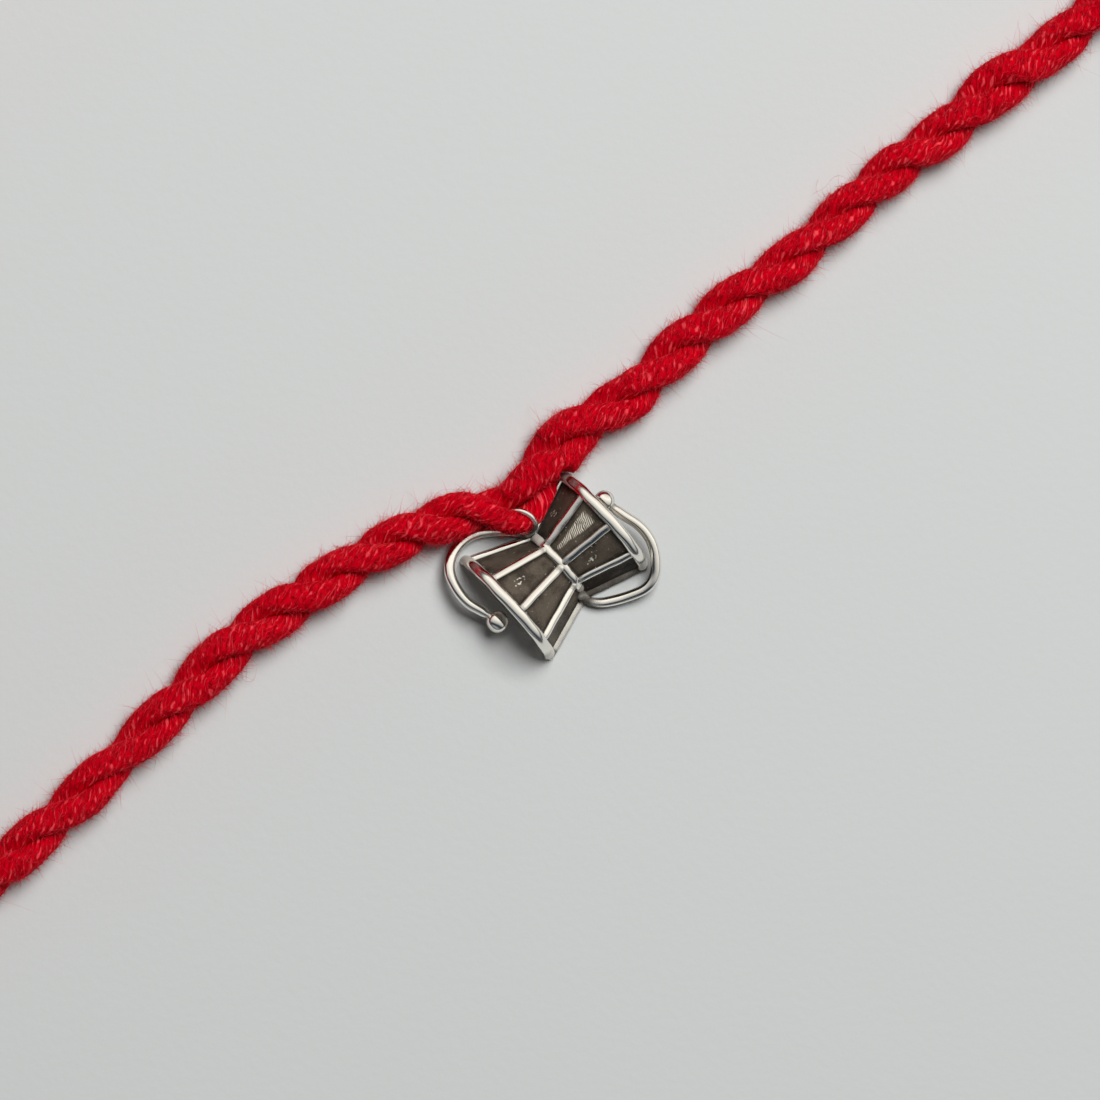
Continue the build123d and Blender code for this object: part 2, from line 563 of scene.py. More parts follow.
def metal_grain_group() -> bpy.types.NodeTree:
    """Builds the uneven skin that all the silver shares: slow waves, fine grain and small pits.

    Returns:
        The group.
    """
    graph, given, result = new_group(
        "metal_grain", {"Wave Scale": 900.0, "Grain Scale": 9000.0, "Pits": 0.5}, ("Shade", "Height")
    )
    place = graph.add("TexCoord").outputs["Object"]
    wave = graph.noise(place, given["Wave Scale"], 2.0)
    grain = graph.noise(place, given["Grain Scale"], 3.0)
    pits = graph.span(graph.noise(place, given["Grain Scale"], 0.0), 0.30, 0.16)
    pits = graph.math("MULTIPLY", pits, given["Pits"])
    shade = graph.math("ADD", graph.math("MULTIPLY", wave, 0.65), graph.math("MULTIPLY", grain, 0.35))
    graph.feed(result, "Shade", shade)
    height = graph.math("ADD", wave, graph.math("MULTIPLY", grain, 0.25))
    graph.feed(result, "Height", graph.math("SUBTRACT", height, pits))
    return graph.tree


def fibre_grain_group() -> bpy.types.NodeTree:
    """Builds the yarn's skin: fine fibres drawn out along the plies, and painted highlights as bright
    dashes on their crests.

    Returns:
        The group.
    """
    graph, given, result = new_group(
        "fibre_grain", {"Across": 9.0, "Along": 1.1, "Dash Rate": 1.5}, ("Shade", "Dash", "Height")
    )
    place = graph.add("SeparateXYZ")
    graph.feed(place, 0, graph.add("TexCoord").outputs["UV"])
    across, along = place.outputs[0], place.outputs[1]

    def drawn(wide: object, long: object, detail: float) -> Socket:
        """A noise whose marks are drawn out along the plies.

        Args:
            wide: the place across the plies.
            long: the place along them.
            detail: how many finer layers it has.

        Returns:
            The noise's value.
        """
        return graph.noise(graph.result("CombineXYZ", wide, long), 1.0, detail)

    wide = graph.math("MULTIPLY", across, given["Across"])
    long = graph.math("MULTIPLY", along, given["Along"])
    fibres = drawn(wide, long, 4.0)
    coarse = drawn(graph.math("MULTIPLY", across, 0.45), graph.math("MULTIPLY", along, 0.55), 2.0)
    bent = graph.math("MULTIPLY_ADD", coarse, 1.5, across)
    crest = graph.math("MULTIPLY", graph.math("PINGPONG", bent, 0.5), 2.0)
    ply = graph.math("MULTIPLY_ADD", graph.math("FLOOR", bent), 3.7, graph.math("MULTIPLY", bent, 0.4))
    broken = drawn(ply, graph.math("MULTIPLY", along, given["Dash Rate"]), 1.0)
    # The dashes are painted highlights on the plies' crests
    dash = graph.span(graph.math("MULTIPLY_ADD", crest, 0.42, broken), 0.86, 1.02)
    shade = graph.math("ADD", graph.math("MULTIPLY", fibres, 0.62), graph.math("MULTIPLY", coarse, 0.25))
    graph.feed(result, "Shade", graph.math("MULTIPLY_ADD", crest, 0.13, shade))
    graph.feed(result, "Dash", dash)
    height = graph.math("MULTIPLY_ADD", crest, 0.2, fibres)
    graph.feed(result, "Height", graph.math("MULTIPLY_ADD", dash, 0.4, height))
    return graph.tree


# Finishes


def new_material(name: str) -> tuple[Material, Graph, bpy.types.Node]:
    """Starts a material.

    Args:
        name: its name.

    Returns:
        The material, the graph of its nodes, and its shader.
    """
    made = bpy.data.materials.new(name)
    made.use_nodes = True
    return made, Graph(made.node_tree), made.node_tree.nodes["Principled BSDF"]


@dataclass(frozen=True)
class StrokePatch:
    """A patch of short bright strokes on the drum's sheet, in millimetres along and out from its waist."""

    start: float = 0.5
    full: float = 0.9
    fading: float = 4.0
    stop: float = 4.35
    # Where its middle lies out from the axis, and how far that moves for each millimetre along
    out: float = 0.98
    drift: float = 0.10
    # Half its width near the waist and near the rim
    narrow: float = 0.16
    broad: float = 0.62
    # How the strokes slant, how close they lie and how unevenly
    slant: float = -0.45
    rate: float = 38.0
    jitter: float = 13.0
    jitter_scale: float = 1.6

    def mask(self, graph: Graph, along: Socket, out: Socket) -> Socket:
        """Draws the patch.

        Args:
            graph: the material's graph.
            along: the distance along the drum from its waist.
            out: the distance out from its axis.

        Returns:
            The mask, 1 on a stroke.
        """
        slant = graph.math("MULTIPLY_ADD", out, self.slant, along)
        places = (graph.math("MULTIPLY", value, self.jitter_scale) for value in (slant, out))
        jitter = graph.noise(graph.result("CombineXYZ", *places), 1.0, 2.0)
        evenly = graph.math("MULTIPLY", slant, self.rate)
        comb = graph.math("SINE", graph.math("MULTIPLY_ADD", jitter, self.jitter, evenly))
        faint = graph.span(jitter, 0.30, 0.50, 0.45, 1.0)
        lines = graph.math("MULTIPLY", graph.span(comb, -0.7, 0.35), faint)
        half_width = graph.span(along, 0.6, 4.2, self.narrow, self.broad)
        aside = graph.math("MULTIPLY_ADD", along, -self.drift, graph.math("ADD", out, -self.out))
        ragged = graph.math("MULTIPLY_ADD", jitter, 0.30, graph.math("ABSOLUTE", aside))
        inside = graph.span(graph.math("SUBTRACT", half_width, ragged), -0.20, -0.04)
        ends = graph.math(
            "MULTIPLY", graph.span(along, self.start, self.full), graph.span(along, self.stop, self.fading)
        )
        return graph.math("MULTIPLY", lines, graph.math("MULTIPLY", inside, ends))


@dataclass(frozen=True)
class SilverFinish:
    """Silver, from polished wire to black oxidised sheet.

    The mask of its meshes says how tarnished a place is; on the wires, balls, lowest ribs and the
    right cone's lowest panels it also carries painted shade and a painted dark reflection. Below 0 it
    is filed matt.
    """

    name: str
    bright: Colour
    # The dark colour that the mask mixes in, for real tarnish and for painted shade alike
    tarnish: Colour
    smooth: float
    dull: float
    wave: float = 900.0
    grain: float = 9000.0
    pits: float = 0.4
    relief: float = 0.00001
    metallic: float = 1.0
    brushed: bool = False
    mottle: float = 0.9
    filed: Colour = (0.84, 0.80, 0.72, 1.0)
    rubbed: Colour = (0.92, 0.86, 0.72, 1.0)
    patch: StrokePatch = StrokePatch()
    # Where specks of bright metal cluster on the sheet: place along and out, and half-size
    speck_spots: tuple[tuple[tuple[float, float], tuple[float, float]], ...] = (
        ((-3.60, 1.30), (0.80, 0.36)),
        ((2.42, 3.30), (0.40, 0.28)),
        ((2.15, -1.45), (0.62, 0.24)),
    )

    def material(self, groups: dict[str, bpy.types.NodeTree]) -> Material:
        """Builds the material.

        Args:
            groups: the shared node groups by name.

        Returns:
            The new material.
        """
        made, graph, shader = new_material(self.name)
        skin = graph.add("Group", node_tree=groups["metal_grain"])
        graph.feed(skin, "Wave Scale", self.wave)
        graph.feed(skin, "Grain Scale", self.grain)
        graph.feed(skin, "Pits", self.pits)
        mask = graph.add("Attribute", attribute_name="mask").outputs["Fac"]
        uneven = graph.math("MULTIPLY_ADD", skin.outputs["Shade"], self.mottle, -self.mottle / 2)
        # The mask's tarnish and painted shade, with the grain's uneven tone
        tarnish_and_shade = graph.math("ADD", mask, uneven, clamp=True)
        tarnish_and_shade = graph.span(tarnish_and_shade, 0.12, 0.95)
        colour = graph.mix(tarnish_and_shade, self.bright, self.tarnish)
        rough = graph.span(tarnish_and_shade, 0.0, 1.0, self.smooth, self.dull)
        matt = graph.span(mask, -0.05, -0.55)
        colour = graph.mix(matt, colour, self.filed)
        rough = graph.math("MULTIPLY_ADD", matt, 0.30, rough)
        if self.brushed:
            scuff = self.scuffs(graph)
            colour = graph.mix(scuff, colour, self.rubbed)
        graph.feed(shader, "Base Color", colour)
        graph.feed(shader, "Roughness", rough)
        dulled = graph.math("MAXIMUM", matt, tarnish_and_shade)
        metallic = graph.math("MULTIPLY_ADD", dulled, -0.7 * self.metallic, self.metallic)
        graph.feed(shader, "Metallic", metallic)
        graph.feed(shader, "Normal", graph.bump(skin.outputs["Height"], 0.6, self.relief))
        return made

    def scuffs(self, graph: Graph) -> Socket:
        """Where the oxidised sheet is rubbed bright: a patch of short strokes, and clusters of specks.

        Args:
            graph: the material's graph.

        Returns:
            The mask, 1 where the sheet is bright.
        """
        place = graph.add("TexCoord").outputs["Object"]
        from_waist = graph.result("VectorMath", place, tuple(DRUM_ORIGIN * MM), operation="SUBTRACT")
        along = graph.dot(from_waist, tuple(DRUM_ALONG / MM))
        out = graph.dot(from_waist, tuple(DRUM_OUT / MM))
        specks = graph.noise(place, 5200.0, 2.0)
        for where, size in self.speck_spots:
            near = [
                graph.math("POWER", graph.math("DIVIDE", graph.math("SUBTRACT", reach, middle), half), 2.0)
                for reach, middle, half in zip((along, out), where, size)
            ]
            cluster = graph.span(graph.math("ADD", *near), 1.2, 0.2, 0.0, 0.17)
            specks = graph.math("ADD", specks, cluster)
        specks = graph.math("MULTIPLY", graph.span(specks, 0.70, 0.76), 0.85)
        return graph.math("MAXIMUM", self.patch.mask(graph, along, out), specks)


@dataclass(frozen=True)
class YarnFinish:
    """Dyed yarn. The mask of its meshes is high on the plies' crests, with a painted highlight, and low
    between them, in painted shade.
    """

    name: str
    # The deep colour is painted shade and the crest colour a painted highlight; the dyed colour is the
    # yarn's own
    deep: Colour
    dyed: Colour
    crest: Colour
    plied: bool = True
    sheen: float = 0.04
    relief: float = 0.00004

    def material(self, groups: dict[str, bpy.types.NodeTree]) -> Material:
        """Builds the material.

        Args:
            groups: the shared node groups by name.

        Returns:
            The new material.
        """
        made, graph, shader = new_material(self.name)
        mask = graph.add("Attribute", attribute_name="mask").outputs["Fac"]
        if self.plied:
            skin = graph.add("Group", node_tree=groups["fibre_grain"])
            shade, dash = skin.outputs["Shade"], skin.outputs["Dash"]
            graph.feed(shader, "Normal", graph.bump(skin.outputs["Height"], 0.7, self.relief))
        else:
            shade = graph.noise(graph.add("TexCoord").outputs["Object"], 900.0, 2.0)
            dash = graph.span(mask, 0.55, 1.1, 0.0, 0.7)
        # Painted shade from the deep colour where the mask is low, and painted highlights from the crest
        # colour on the dashes
        height = graph.math("MULTIPLY_ADD", shade, 1.3, graph.math("MULTIPLY_ADD", mask, 0.6, -0.55))
        low = graph.mix(graph.span(height, 0.0, 0.62), self.deep, self.dyed)
        graph.feed(shader, "Base Color", graph.mix(dash, low, self.crest))
        graph.feed(shader, "Roughness", graph.span(shade, 0.2, 0.8, 0.85, 0.65))
        graph.feed(shader, "Sheen Weight", self.sheen)
        graph.feed(shader, "Sheen Roughness", 0.4)
        graph.feed(shader, "Sheen Tint", (1.0, 0.1, 0.1, 1.0))
        graph.feed(shader, "Specular IOR Level", 0.04)
        return made


@dataclass(frozen=True)
class CardFinish:
    """The plain pale card under the bracelet."""

    name: str = "pale_card"
    colour: Colour = (0.746, 0.764, 0.752, 1.0)

    def material(self) -> Material:
        """Builds the material.

        Returns:
            The new material.
        """
        made, graph, shader = new_material(self.name)
        place = graph.add("TexCoord").outputs["Object"]
        cloud = graph.noise(place, 25.0, 3.0)
        darker = tuple(0.985 * part for part in self.colour[:3]) + (1.0,)
        graph.feed(shader, "Base Color", graph.mix(cloud, darker, self.colour))
        graph.feed(shader, "Roughness", 0.7)
        graph.feed(shader, "Specular IOR Level", 0.0)
        graph.feed(shader, "Normal", graph.bump(graph.noise(place, 1400.0, 4.0), 0.25, 0.0001))
        return made


# Studio


@dataclass
class Studio:
    """Pale floor, soft lamp, surroundings for the silver to reflect, and the camera."""

    target: Place = (-0.05, 1.3, 0.0)
    camera_way: Place = (-0.13, 0.0, 1.0)
    camera_distance: float = 380.0
    lens: float = 150.4
    lamp_way: Place = (0.21, 0.46, 1.0)
    lamp_distance: float = 700.0
    lamp_size: float = 400.0
    lamp_power: float = 4.58
    floor_size: float = 2400.0
    fill: float = 0.06
    bright_side: Place = (0.39, 0.90, 0.21)
    # Level from the dark side to the bright side, and the colour there
    surroundings: tuple[tuple[float, Place], ...] = (
        (0.00, (0.42, 0.42, 0.42)),
        (0.10, (0.30, 0.31, 0.32)),
        (0.20, (0.022, 0.034, 0.048)),
        (0.29, (0.020, 0.030, 0.042)),
        (0.40, (0.42, 0.42, 0.42)),
        (0.62, (0.78, 0.76, 0.71)),
        (0.84, (1.16, 1.12, 1.05)),
        (1.00, (0.84, 0.80, 0.74)),
    )
    horizon: Colour = (0.07, 0.07, 0.075, 1.0)
    fill_light: Colour = (1.0, 1.0, 1.0, 1.0)
    backdrop: Colour = (0.62, 0.63, 0.62, 1.0)

    def build(self) -> None:
        """Makes the floor, the lamp, the surroundings and the camera."""
        self.make_camera()
        self.make_floor()
        self.make_lamp()
        self.make_surroundings()
        bpy.context.scene.view_settings.view_transform = "Standard"

    def make_camera(self) -> None:
        """Puts the camera above the bracelet, leaning to the left."""
        data = bpy.data.cameras.new("camera")
        data.lens = self.lens
        data.sensor_width = 36.0
        data.clip_start = 0.01
        data.clip_end = 10.0
        camera = bpy.data.objects.new("camera", data)
        back = Vector(self.camera_way).normalized()
        level = Vector((0.0, 1.0, 0.0))
        right = level.cross(back)
        turned = Matrix((right, level, back)).transposed()
        place = (Vector(self.target) + back * self.camera_distance) * MM
        camera.matrix_world = Matrix.Translation(place) @ turned.to_4x4()
        bpy.context.scene.collection.objects.link(camera)
        bpy.context.scene.camera = camera

    def make_floor(self) -> None:
        """Lays the card that the bracelet rests on."""
        half = self.floor_size * MM / 2
        mesh = bpy.data.meshes.new("floor")
        corners = [(-half, -half, 0), (half, -half, 0), (half, half, 0), (-half, half, 0)]
        mesh.from_pydata(corners, [], [(0, 1, 2, 3)])
        mesh.materials.append(CardFinish().material())
        floor = bpy.data.objects.new("floor", mesh)
        bpy.context.scene.collection.objects.link(floor)

    def make_lamp(self) -> None:
        """Hangs one large soft lamp above the photograph's top edge."""
        data = bpy.data.lights.new("soft_lamp", "AREA")
        data.shape = "SQUARE"
        data.size = self.lamp_size * MM
        data.energy = self.lamp_power
        lamp = bpy.data.objects.new("soft_lamp", data)
        way = Vector(self.lamp_way).normalized()
        lamp.location = (Vector(self.target) + way * self.lamp_distance) * MM
        lamp.rotation_mode = "QUATERNION"
        lamp.rotation_quaternion = way.to_track_quat("Z", "Y")
        # The silver mirrors the surroundings' soft bright side instead
        lamp.visible_glossy = False
        bpy.context.scene.collection.objects.link(lamp)

    def make_surroundings(self) -> None:
        """Surrounds the scene with a soft fill, and with light and dark walls for the silver."""
        world = bpy.data.worlds.new("surroundings")
        bpy.context.scene.world = world
        world.use_nodes = True
        world.cycles.sampling_method = "NONE"
        graph = Graph(world.node_tree)
        world.node_tree.nodes.clear()
        way = graph.add("TexCoord").outputs["Generated"]
        level = graph.span(graph.dot(way, tuple(Vector(self.bright_side).normalized())), -1.0, 1.0)
        level.node.interpolation_type = "LINEAR"
        ramp = graph.add("ValToRGB")
        graph.feed(ramp, 0, level)
        stops = ramp.color_ramp.elements
        while len(stops) < len(self.surroundings):
            stops.new(0.5)
        for stop, (place, colour) in zip(stops, self.surroundings):
            stop.position = place
            stop.color = (*colour, 1.0)
        above = graph.span(graph.dot(way, tuple(UP)), 0.05, 0.34)
        mirrored = graph.result("Background", graph.mix(above, self.horizon, ramp.outputs[0]), 1.0)
        soft = graph.result("Background", self.fill_light, self.fill)
        seen = graph.result("Background", self.backdrop, 1.0)
        path = graph.add("LightPath")
        unseen = graph.result("MixShader", path.outputs["Is Glossy Ray"], soft, mirrored)
        final = graph.result("MixShader", path.outputs["Is Camera Ray"], unseen, seen)
        graph.feed(graph.add("OutputWorld"), "Surface", final)


# Yarn


# How far along the loop from the charm the photograph shows, in millimetres
SEEN_REACH = 63.0
# How high yarn and fibres stay above the surface, in millimetres
YARN_CLEARANCE = 0.015
FIBRE_CLEARANCE = 0.012

DRUM_ANGLE = math.radians(41.7)
DRUM_ORIGIN = np.array((0.45, 0.22, 0.0))
DRUM_ALONG = np.array((math.cos(DRUM_ANGLE), math.sin(DRUM_ANGLE), 0.0))
DRUM_OUT = np.array((-math.sin(DRUM_ANGLE), math.cos(DRUM_ANGLE), 0.0))


@dataclass(frozen=True)
class DrumForm:
    """The drum's main sizes: two half cones on one axis, which meet at the waist."""

    left_length: float = 5.5
    right_length: float = 5.2
    left_radius: float = 5.2
    right_radius: float = 4.9
    waist_radius: float = 2.92
    # How far the right rim's wire reaches along past the cone, and out
    rim_reach: float = 0.6
    rim_rise: float = 0.42
    # How far yarn sinks between the wires, and how far out it comes for each millimetre up
    sink: float = 0.06
    lean: float = 0.087

    def cone_radius(self, along: Array) -> Array:
        """The radius to the middle of the wires, at a distance along the axis.

        Args:
            along: the distance from the waist, below 0 on the left.

        Returns:
            The radius.
        """
        left = self.waist_radius + (self.left_radius - self.waist_radius) * -along / self.left_length
        right = self.waist_radius + (self.right_radius - self.waist_radius) * along / self.right_length
        return np.where(along < 0, left, right)

    def side(self, along: Array, up: Array) -> Array:
        """How far out from the axis the drum's side reaches, as yarn that leans on it finds it.

        Args:
            along: the distance along the axis from the waist.
            up: the height above the surface.

        Returns:
            The distance out towards the thread.
        """
        cone = np.where(along < self.right_length, self.cone_radius(along), 0.0)
        over_rim = np.clip(1 - ((along - self.right_length) / self.rim_reach) ** 2, 0, None)
        rim = np.where(over_rim > 0, self.right_radius + self.rim_rise * np.sqrt(over_rim), 0.0)
        return np.maximum(cone - self.sink, rim) + self.lean * up


DRUM_FORM = DrumForm()


def from_drum(points: Array) -> tuple[Array, Array]:
    """How far points lie along the drum's axis from its waist, and out towards the thread."""
    from_waist = points - DRUM_ORIGIN
    return from_waist @ DRUM_ALONG, from_waist @ DRUM_OUT


def inside_drum(points: Array) -> Array:
    """Whether points lie in or over the drum.

    Args:
        points: the points, with three numbers each.

    Returns:
        True for each point that does.
    """
    along, out = from_drum(points)
    near = (along > -DRUM_FORM.left_length) & (along < DRUM_FORM.right_length + DRUM_FORM.rim_reach)
    return near & (np.abs(out) < DRUM_FORM.side(along, points[..., 2]))


@dataclass(frozen=True)
class YarnShade:
    """A strand's mask, which paints shade between the plies and highlights on them: its middle, and what
    the plies' columns, the beads and the roughness add.
    """

    middle: float = 0.42
    column: float = 0.12
    bead: float = 0.46
    rough: float = 0.08


@dataclass
class Strand:
    """A strand of plied yarn along a line, with an oval section that may turn round the line."""

    centre: Array
    outward: Array
    sideways: Array
    thick: Array
    wide: Array
    turns: float
    seed: int
    closed: bool = False
    plies: int = 12
    ply_relief: float = 0.030
    bead_relief: float = 0.060
    bead_length: float = 0.92
    roughness: float = 0.020
    ply_sway: float = 0.25
    sway_waves: Place = (1.9, 3.1, 5.3)
    # How high each of a ply's columns of points stands
    column_rise: tuple[float, ...] = (-0.6, 0.15, 0.5, 0.15)
    shade: YarnShade = YarnShade()

    def __post_init__(self) -> None:
        """Measures the strand."""
        ring = np.concatenate((self.centre, self.centre[:1])) if self.closed else self.centre
        arc = arc_lengths(ring)
        self.length = arc[-1]
        self.arc = arc[:-1] if self.closed else arc

    def add_to(self, shape: Shape) -> None:
        """Adds the strand's body: a few columns of points to a ply, which turn with the plies.

        Args:
            shape: what it is added to.
        """
        columns = len(self.column_rise) * self.plies
        rows = len(self.centre)
        step = FULL_TURN * np.arange(columns) / columns
        spin = FULL_TURN * self.turns * self.arc / self.length
        ply, column = np.divmod(np.arange(columns), len(self.column_rise))
        angle = spin[:, None] + step[None, :] + self.sway(ply)
        rise = np.array(self.column_rise)[column][None, :]
        bead = self.beads(ply) * (rise > 0)
        rough = np.random.default_rng(self.seed + 2000).normal(0, 1, (rows, columns))
        lift = self.ply_relief * rise + self.bead_relief * bead + self.roughness * rough
        points = self.oval(angle, lift)
        shade = self.shade
        # The mask paints shade on the low columns between the plies and highlights on the raised beads;
        # the roughness adds random tone
        mask = shade.middle + shade.column * rise + shade.bead * bead + shade.rough * rough
        faces = grid_faces(rows, columns, self.closed, True)[:, ::-1]
        uvs = self.face_places(faces, columns)
        faces = faces.tolist()
        if not self.closed:
            faces.extend(end_faces(rows, columns))
            uvs = np.concatenate((uvs, np.zeros((2 * columns, 2))))
        shape.add(points.reshape(-1, 3), faces, mask.ravel(), uvs)

    def face_places(self, faces: Array, columns: int) -> Array:
        """The place of each face's corners: plies across, and millimetres along.

        Args:
            faces: the faces, four point numbers a row.
            columns: how many points each ring has.

        Returns:
            The places, in the order of the faces' corners.
        """
        row, column = np.divmod(faces, columns)
        across = column / len(self.column_rise)
        across += np.where((across < 0.5) & (across.max(axis=1, keepdims=True) > 1.5), self.plies, 0)
        along = self.arc[row]
        jump = along.max(axis=1, keepdims=True) - along > self.length / 2
        along = along + np.where(jump, self.length, 0)
        return np.stack((across, along), axis=-1).reshape(-1, 2)

    def sway(self, ply: Array) -> Array:
        """How far each ply wanders sideways round the strand, in radians.

        Args:
            ply: the ply that each column of points is on.

        Returns:
            The angles, a row for each ring.
        """
        draw = np.random.default_rng(self.seed + 1000)
        cycles = tuple(max(1, round(self.length / wave)) for wave in self.sway_waves)
        moved = [wander(self.arc, self.length, cycles, draw) for _ in range(self.plies)]
        return self.ply_sway * np.stack(moved, axis=1)[:, ply]

    def beads(self, ply: Array) -> Array:
        """How high each ply stands along its length, from 0 to 1, uneven from ply to ply.

        Args:
            ply: the ply that each column of points is on.

        Returns:
            The heights, a row for each ring.
        """
        draw = np.random.default_rng(self.seed)
        high = np.zeros((len(self.arc), self.plies))
        for index in range(self.plies):
            cycles = round(self.length / self.bead_length * draw.uniform(0.85, 1.15))
            slow = wander(self.arc, self.length, (max(1, cycles // 7), max(1, cycles // 4)), draw)
            phase = FULL_TURN * cycles * self.arc / self.length + 2.2 * slow + draw.uniform(0, FULL_TURN)
            high[:, index] = np.clip(0.5 + 0.62 * np.sin(phase), 0, 1) * (0.75 + 0.4 * slow)
        return high[:, ply]

    def oval(self, angle: Array, lift: Array) -> Array:
        """Points round every ring of the strand.

        Args:
            angle: the angle of each point.
            lift: how far above the plain oval it stands.

        Returns:
            The points, as rings by points by three.
        """
        out = ((self.thick[:, None] + lift) * np.cos(angle))[..., None]
        side = ((self.wide[:, None] + lift) * np.sin(angle))[..., None]
        return self.centre[:, None] + out * self.outward[:, None] + side * self.sideways[:, None]

    def read(self, values: Array, arc: Array) -> Array:
        """One of the strand's rows of numbers or vectors, read at any distance along it.

        Args:
            values: the rows, one for each ring.
            arc: the distances.

        Returns:
            The values there.
        """
        period = self.length if self.closed else None
        if values.ndim == 1:
            return np.interp(arc, self.arc, values, period=period)
        parts = [np.interp(arc, self.arc, values[:, axis], period=period) for axis in range(3)]
        return np.stack(parts, axis=-1)

    def skin(self, arc: Array, angle: Array, lift: Array | float) -> tuple[Array, Array]:
        """Places on the strand's skin.

        Args:
            arc: the distance along the strand.
            angle: the angle round it, from its outward side, before the plies' turn is added.
            lift: how far above the skin.

        Returns:
            The places, and the ways straight out of the skin there.
        """
        turned = angle + FULL_TURN * self.turns * arc / self.length
        thick, wide = self.read(self.thick, arc), self.read(self.wide, arc)
        outward, sideways = self.read(self.outward, arc), self.read(self.sideways, arc)
        cosine, sine = np.cos(turned), np.sin(turned)
        out = unit(outward * (cosine / thick)[..., None] + sideways * (sine / wide)[..., None])
        place = (
            self.read(self.centre, arc)
            + outward * (thick * cosine)[..., None]
            + sideways * (wide * sine)[..., None]
        )
        return place + out * np.asarray(lift)[..., None], out


@dataclass
class Rope:
    """Two strands twisted round each other along a line."""

    line: Array
    phase: Array
    closed: bool
    offset_side: float
    offset_up: float
    thick: float
    wide: float
    ply_pitch: float
    seed: int
    plies: int = 12
    girth: Array | float = 1.0
    # How much the strands' two half-widths vary along the line, and how often
    uneven_thick: float = 0.045
    uneven_wide: float = 0.05
    thick_cycles: tuple[int, ...] = (23, 37, 61)
    wide_cycles: tuple[int, ...] = (19, 41, 71)

    def strands(self) -> list[Strand]:
        """Builds the two strands.

        Returns:
            The first strand, which lies on the right of the way along where its phase is 0, and the
            second, on the other side of the line.
        """
        if self.closed:
            ahead = np.roll(self.line, -1, axis=0) - np.roll(self.line, 1, axis=0)
        else:
            ahead = np.gradient(self.line, axis=0)
        way = unit(ahead)
        side = unit(np.cross(way, UP))
        up = np.cross(side, way)
        arc = arc_lengths(self.line)
        length = arc[-1]
        turns = length / self.ply_pitch
        draw = np.random.default_rng(self.seed)
        made = []
        for number in range(2):
            angle = self.phase + math.pi * number
            cosine, sine = np.cos(angle)[:, None], np.sin(angle)[:, None]
            outward = side * cosine + up * sine
            sideways = up * cosine - side * sine
            swell = 1 + self.uneven_thick * wander(arc, length, self.thick_cycles, draw)
            breadth = 1 + self.uneven_wide * wander(arc, length, self.wide_cycles, draw)
            offset = side * cosine * self.offset_side + up * sine * self.offset_up
            offset = offset * np.broadcast_to(self.girth, (len(arc),))[:, None]
            strand = Strand(
                centre=self.line + offset,
                outward=outward,
                sideways=sideways,
                thick=self.thick * swell * self.girth,
                wide=self.wide * breadth * self.girth,
                turns=float(round(turns)) if self.closed else turns,
                seed=self.seed + 10 + number,
                closed=self.closed,
                plies=self.plies,
            )
            made.append(strand)
        return made


def add_fibres(shape: Shape, paths: Array, radius: Array, draw: Draws, mask: Array) -> None:
    """Adds three-sided fibres that end in a point, apart from those that would enter the drum.

    Args:
        shape: what they are added to.
        paths: each fibre's points, as fibres by points by three.
        radius: each fibre's radius at its root.
        draw: the source of the random turn of each fibre.
        mask: the material's number for each fibre.
    """
    clear = ~inside_drum(paths).any(axis=1)
    paths, radius, mask = paths[clear], radius[clear], mask[clear]
    count, steps = paths.shape[:2]
    way = unit(paths[:, -1] - paths[:, 0] + 1e-6)
    across = unit(np.cross(way, draw.normal(size=(count, 3))))
    other = np.cross(way, across)
    taper = np.linspace(1.0, 0.7, steps - 1)
    rings = []
    for turn in range(3):
        angle = FULL_TURN * turn / 3
        out = across * math.cos(angle) + other * math.sin(angle)
        rings.append(paths[:, :-1] + out[:, None] * (radius[:, None] * taper)[..., None])
    body = np.stack(rings, axis=2).reshape(count, 3 * (steps - 1), 3)
    points = np.concatenate((body, paths[:, -1:]), axis=1)
    points[..., 2] = np.maximum(points[..., 2], FIBRE_CLEARANCE)
    per_fibre = points.shape[1]
    faces = [(0, 2, 1)]
    for step in range(steps - 2):
        for turn in range(3):
            after = (turn + 1) % 3
            low, high = step * 3, step * 3 + 3
            faces.append((low + turn, low + after, high + after))
            faces.append((low + turn, high + after, high + turn))
    last = (steps - 2) * 3
    for turn in range(3):
        faces.append((last + turn, last + (turn + 1) % 3, per_fibre - 1))
    numbers = np.array(faces)[None] + (np.arange(count) * per_fibre)[:, None, None]
    shape.add(points.reshape(-1, 3), numbers.reshape(-1, 3).tolist(), np.repeat(mask, per_fibre))


@dataclass(frozen=True)
class FibreKind:
    """One kind of fibre that stands out of a strand; the rate is how many there are to the millimetre."""

    rate: float
    shortest: float
    longest: float
    points: int
    radius: float
    curl: float


DENSE_FUZZ = FibreKind(rate=170.0, shortest=0.20, longest=0.60, points=2, radius=0.020, curl=0.0)
CURLY_FUZZ = FibreKind(rate=100.0, shortest=0.36, longest=0.96, points=3, radius=0.017, curl=0.6)
HAIRS = FibreKind(rate=5.0, shortest=0.60, longest=1.5, points=4, radius=0.010, curl=0.9)
STRAYS = FibreKind(rate=0.11, shortest=1.8, longest=5.0, points=14, radius=0.012, curl=0.75)


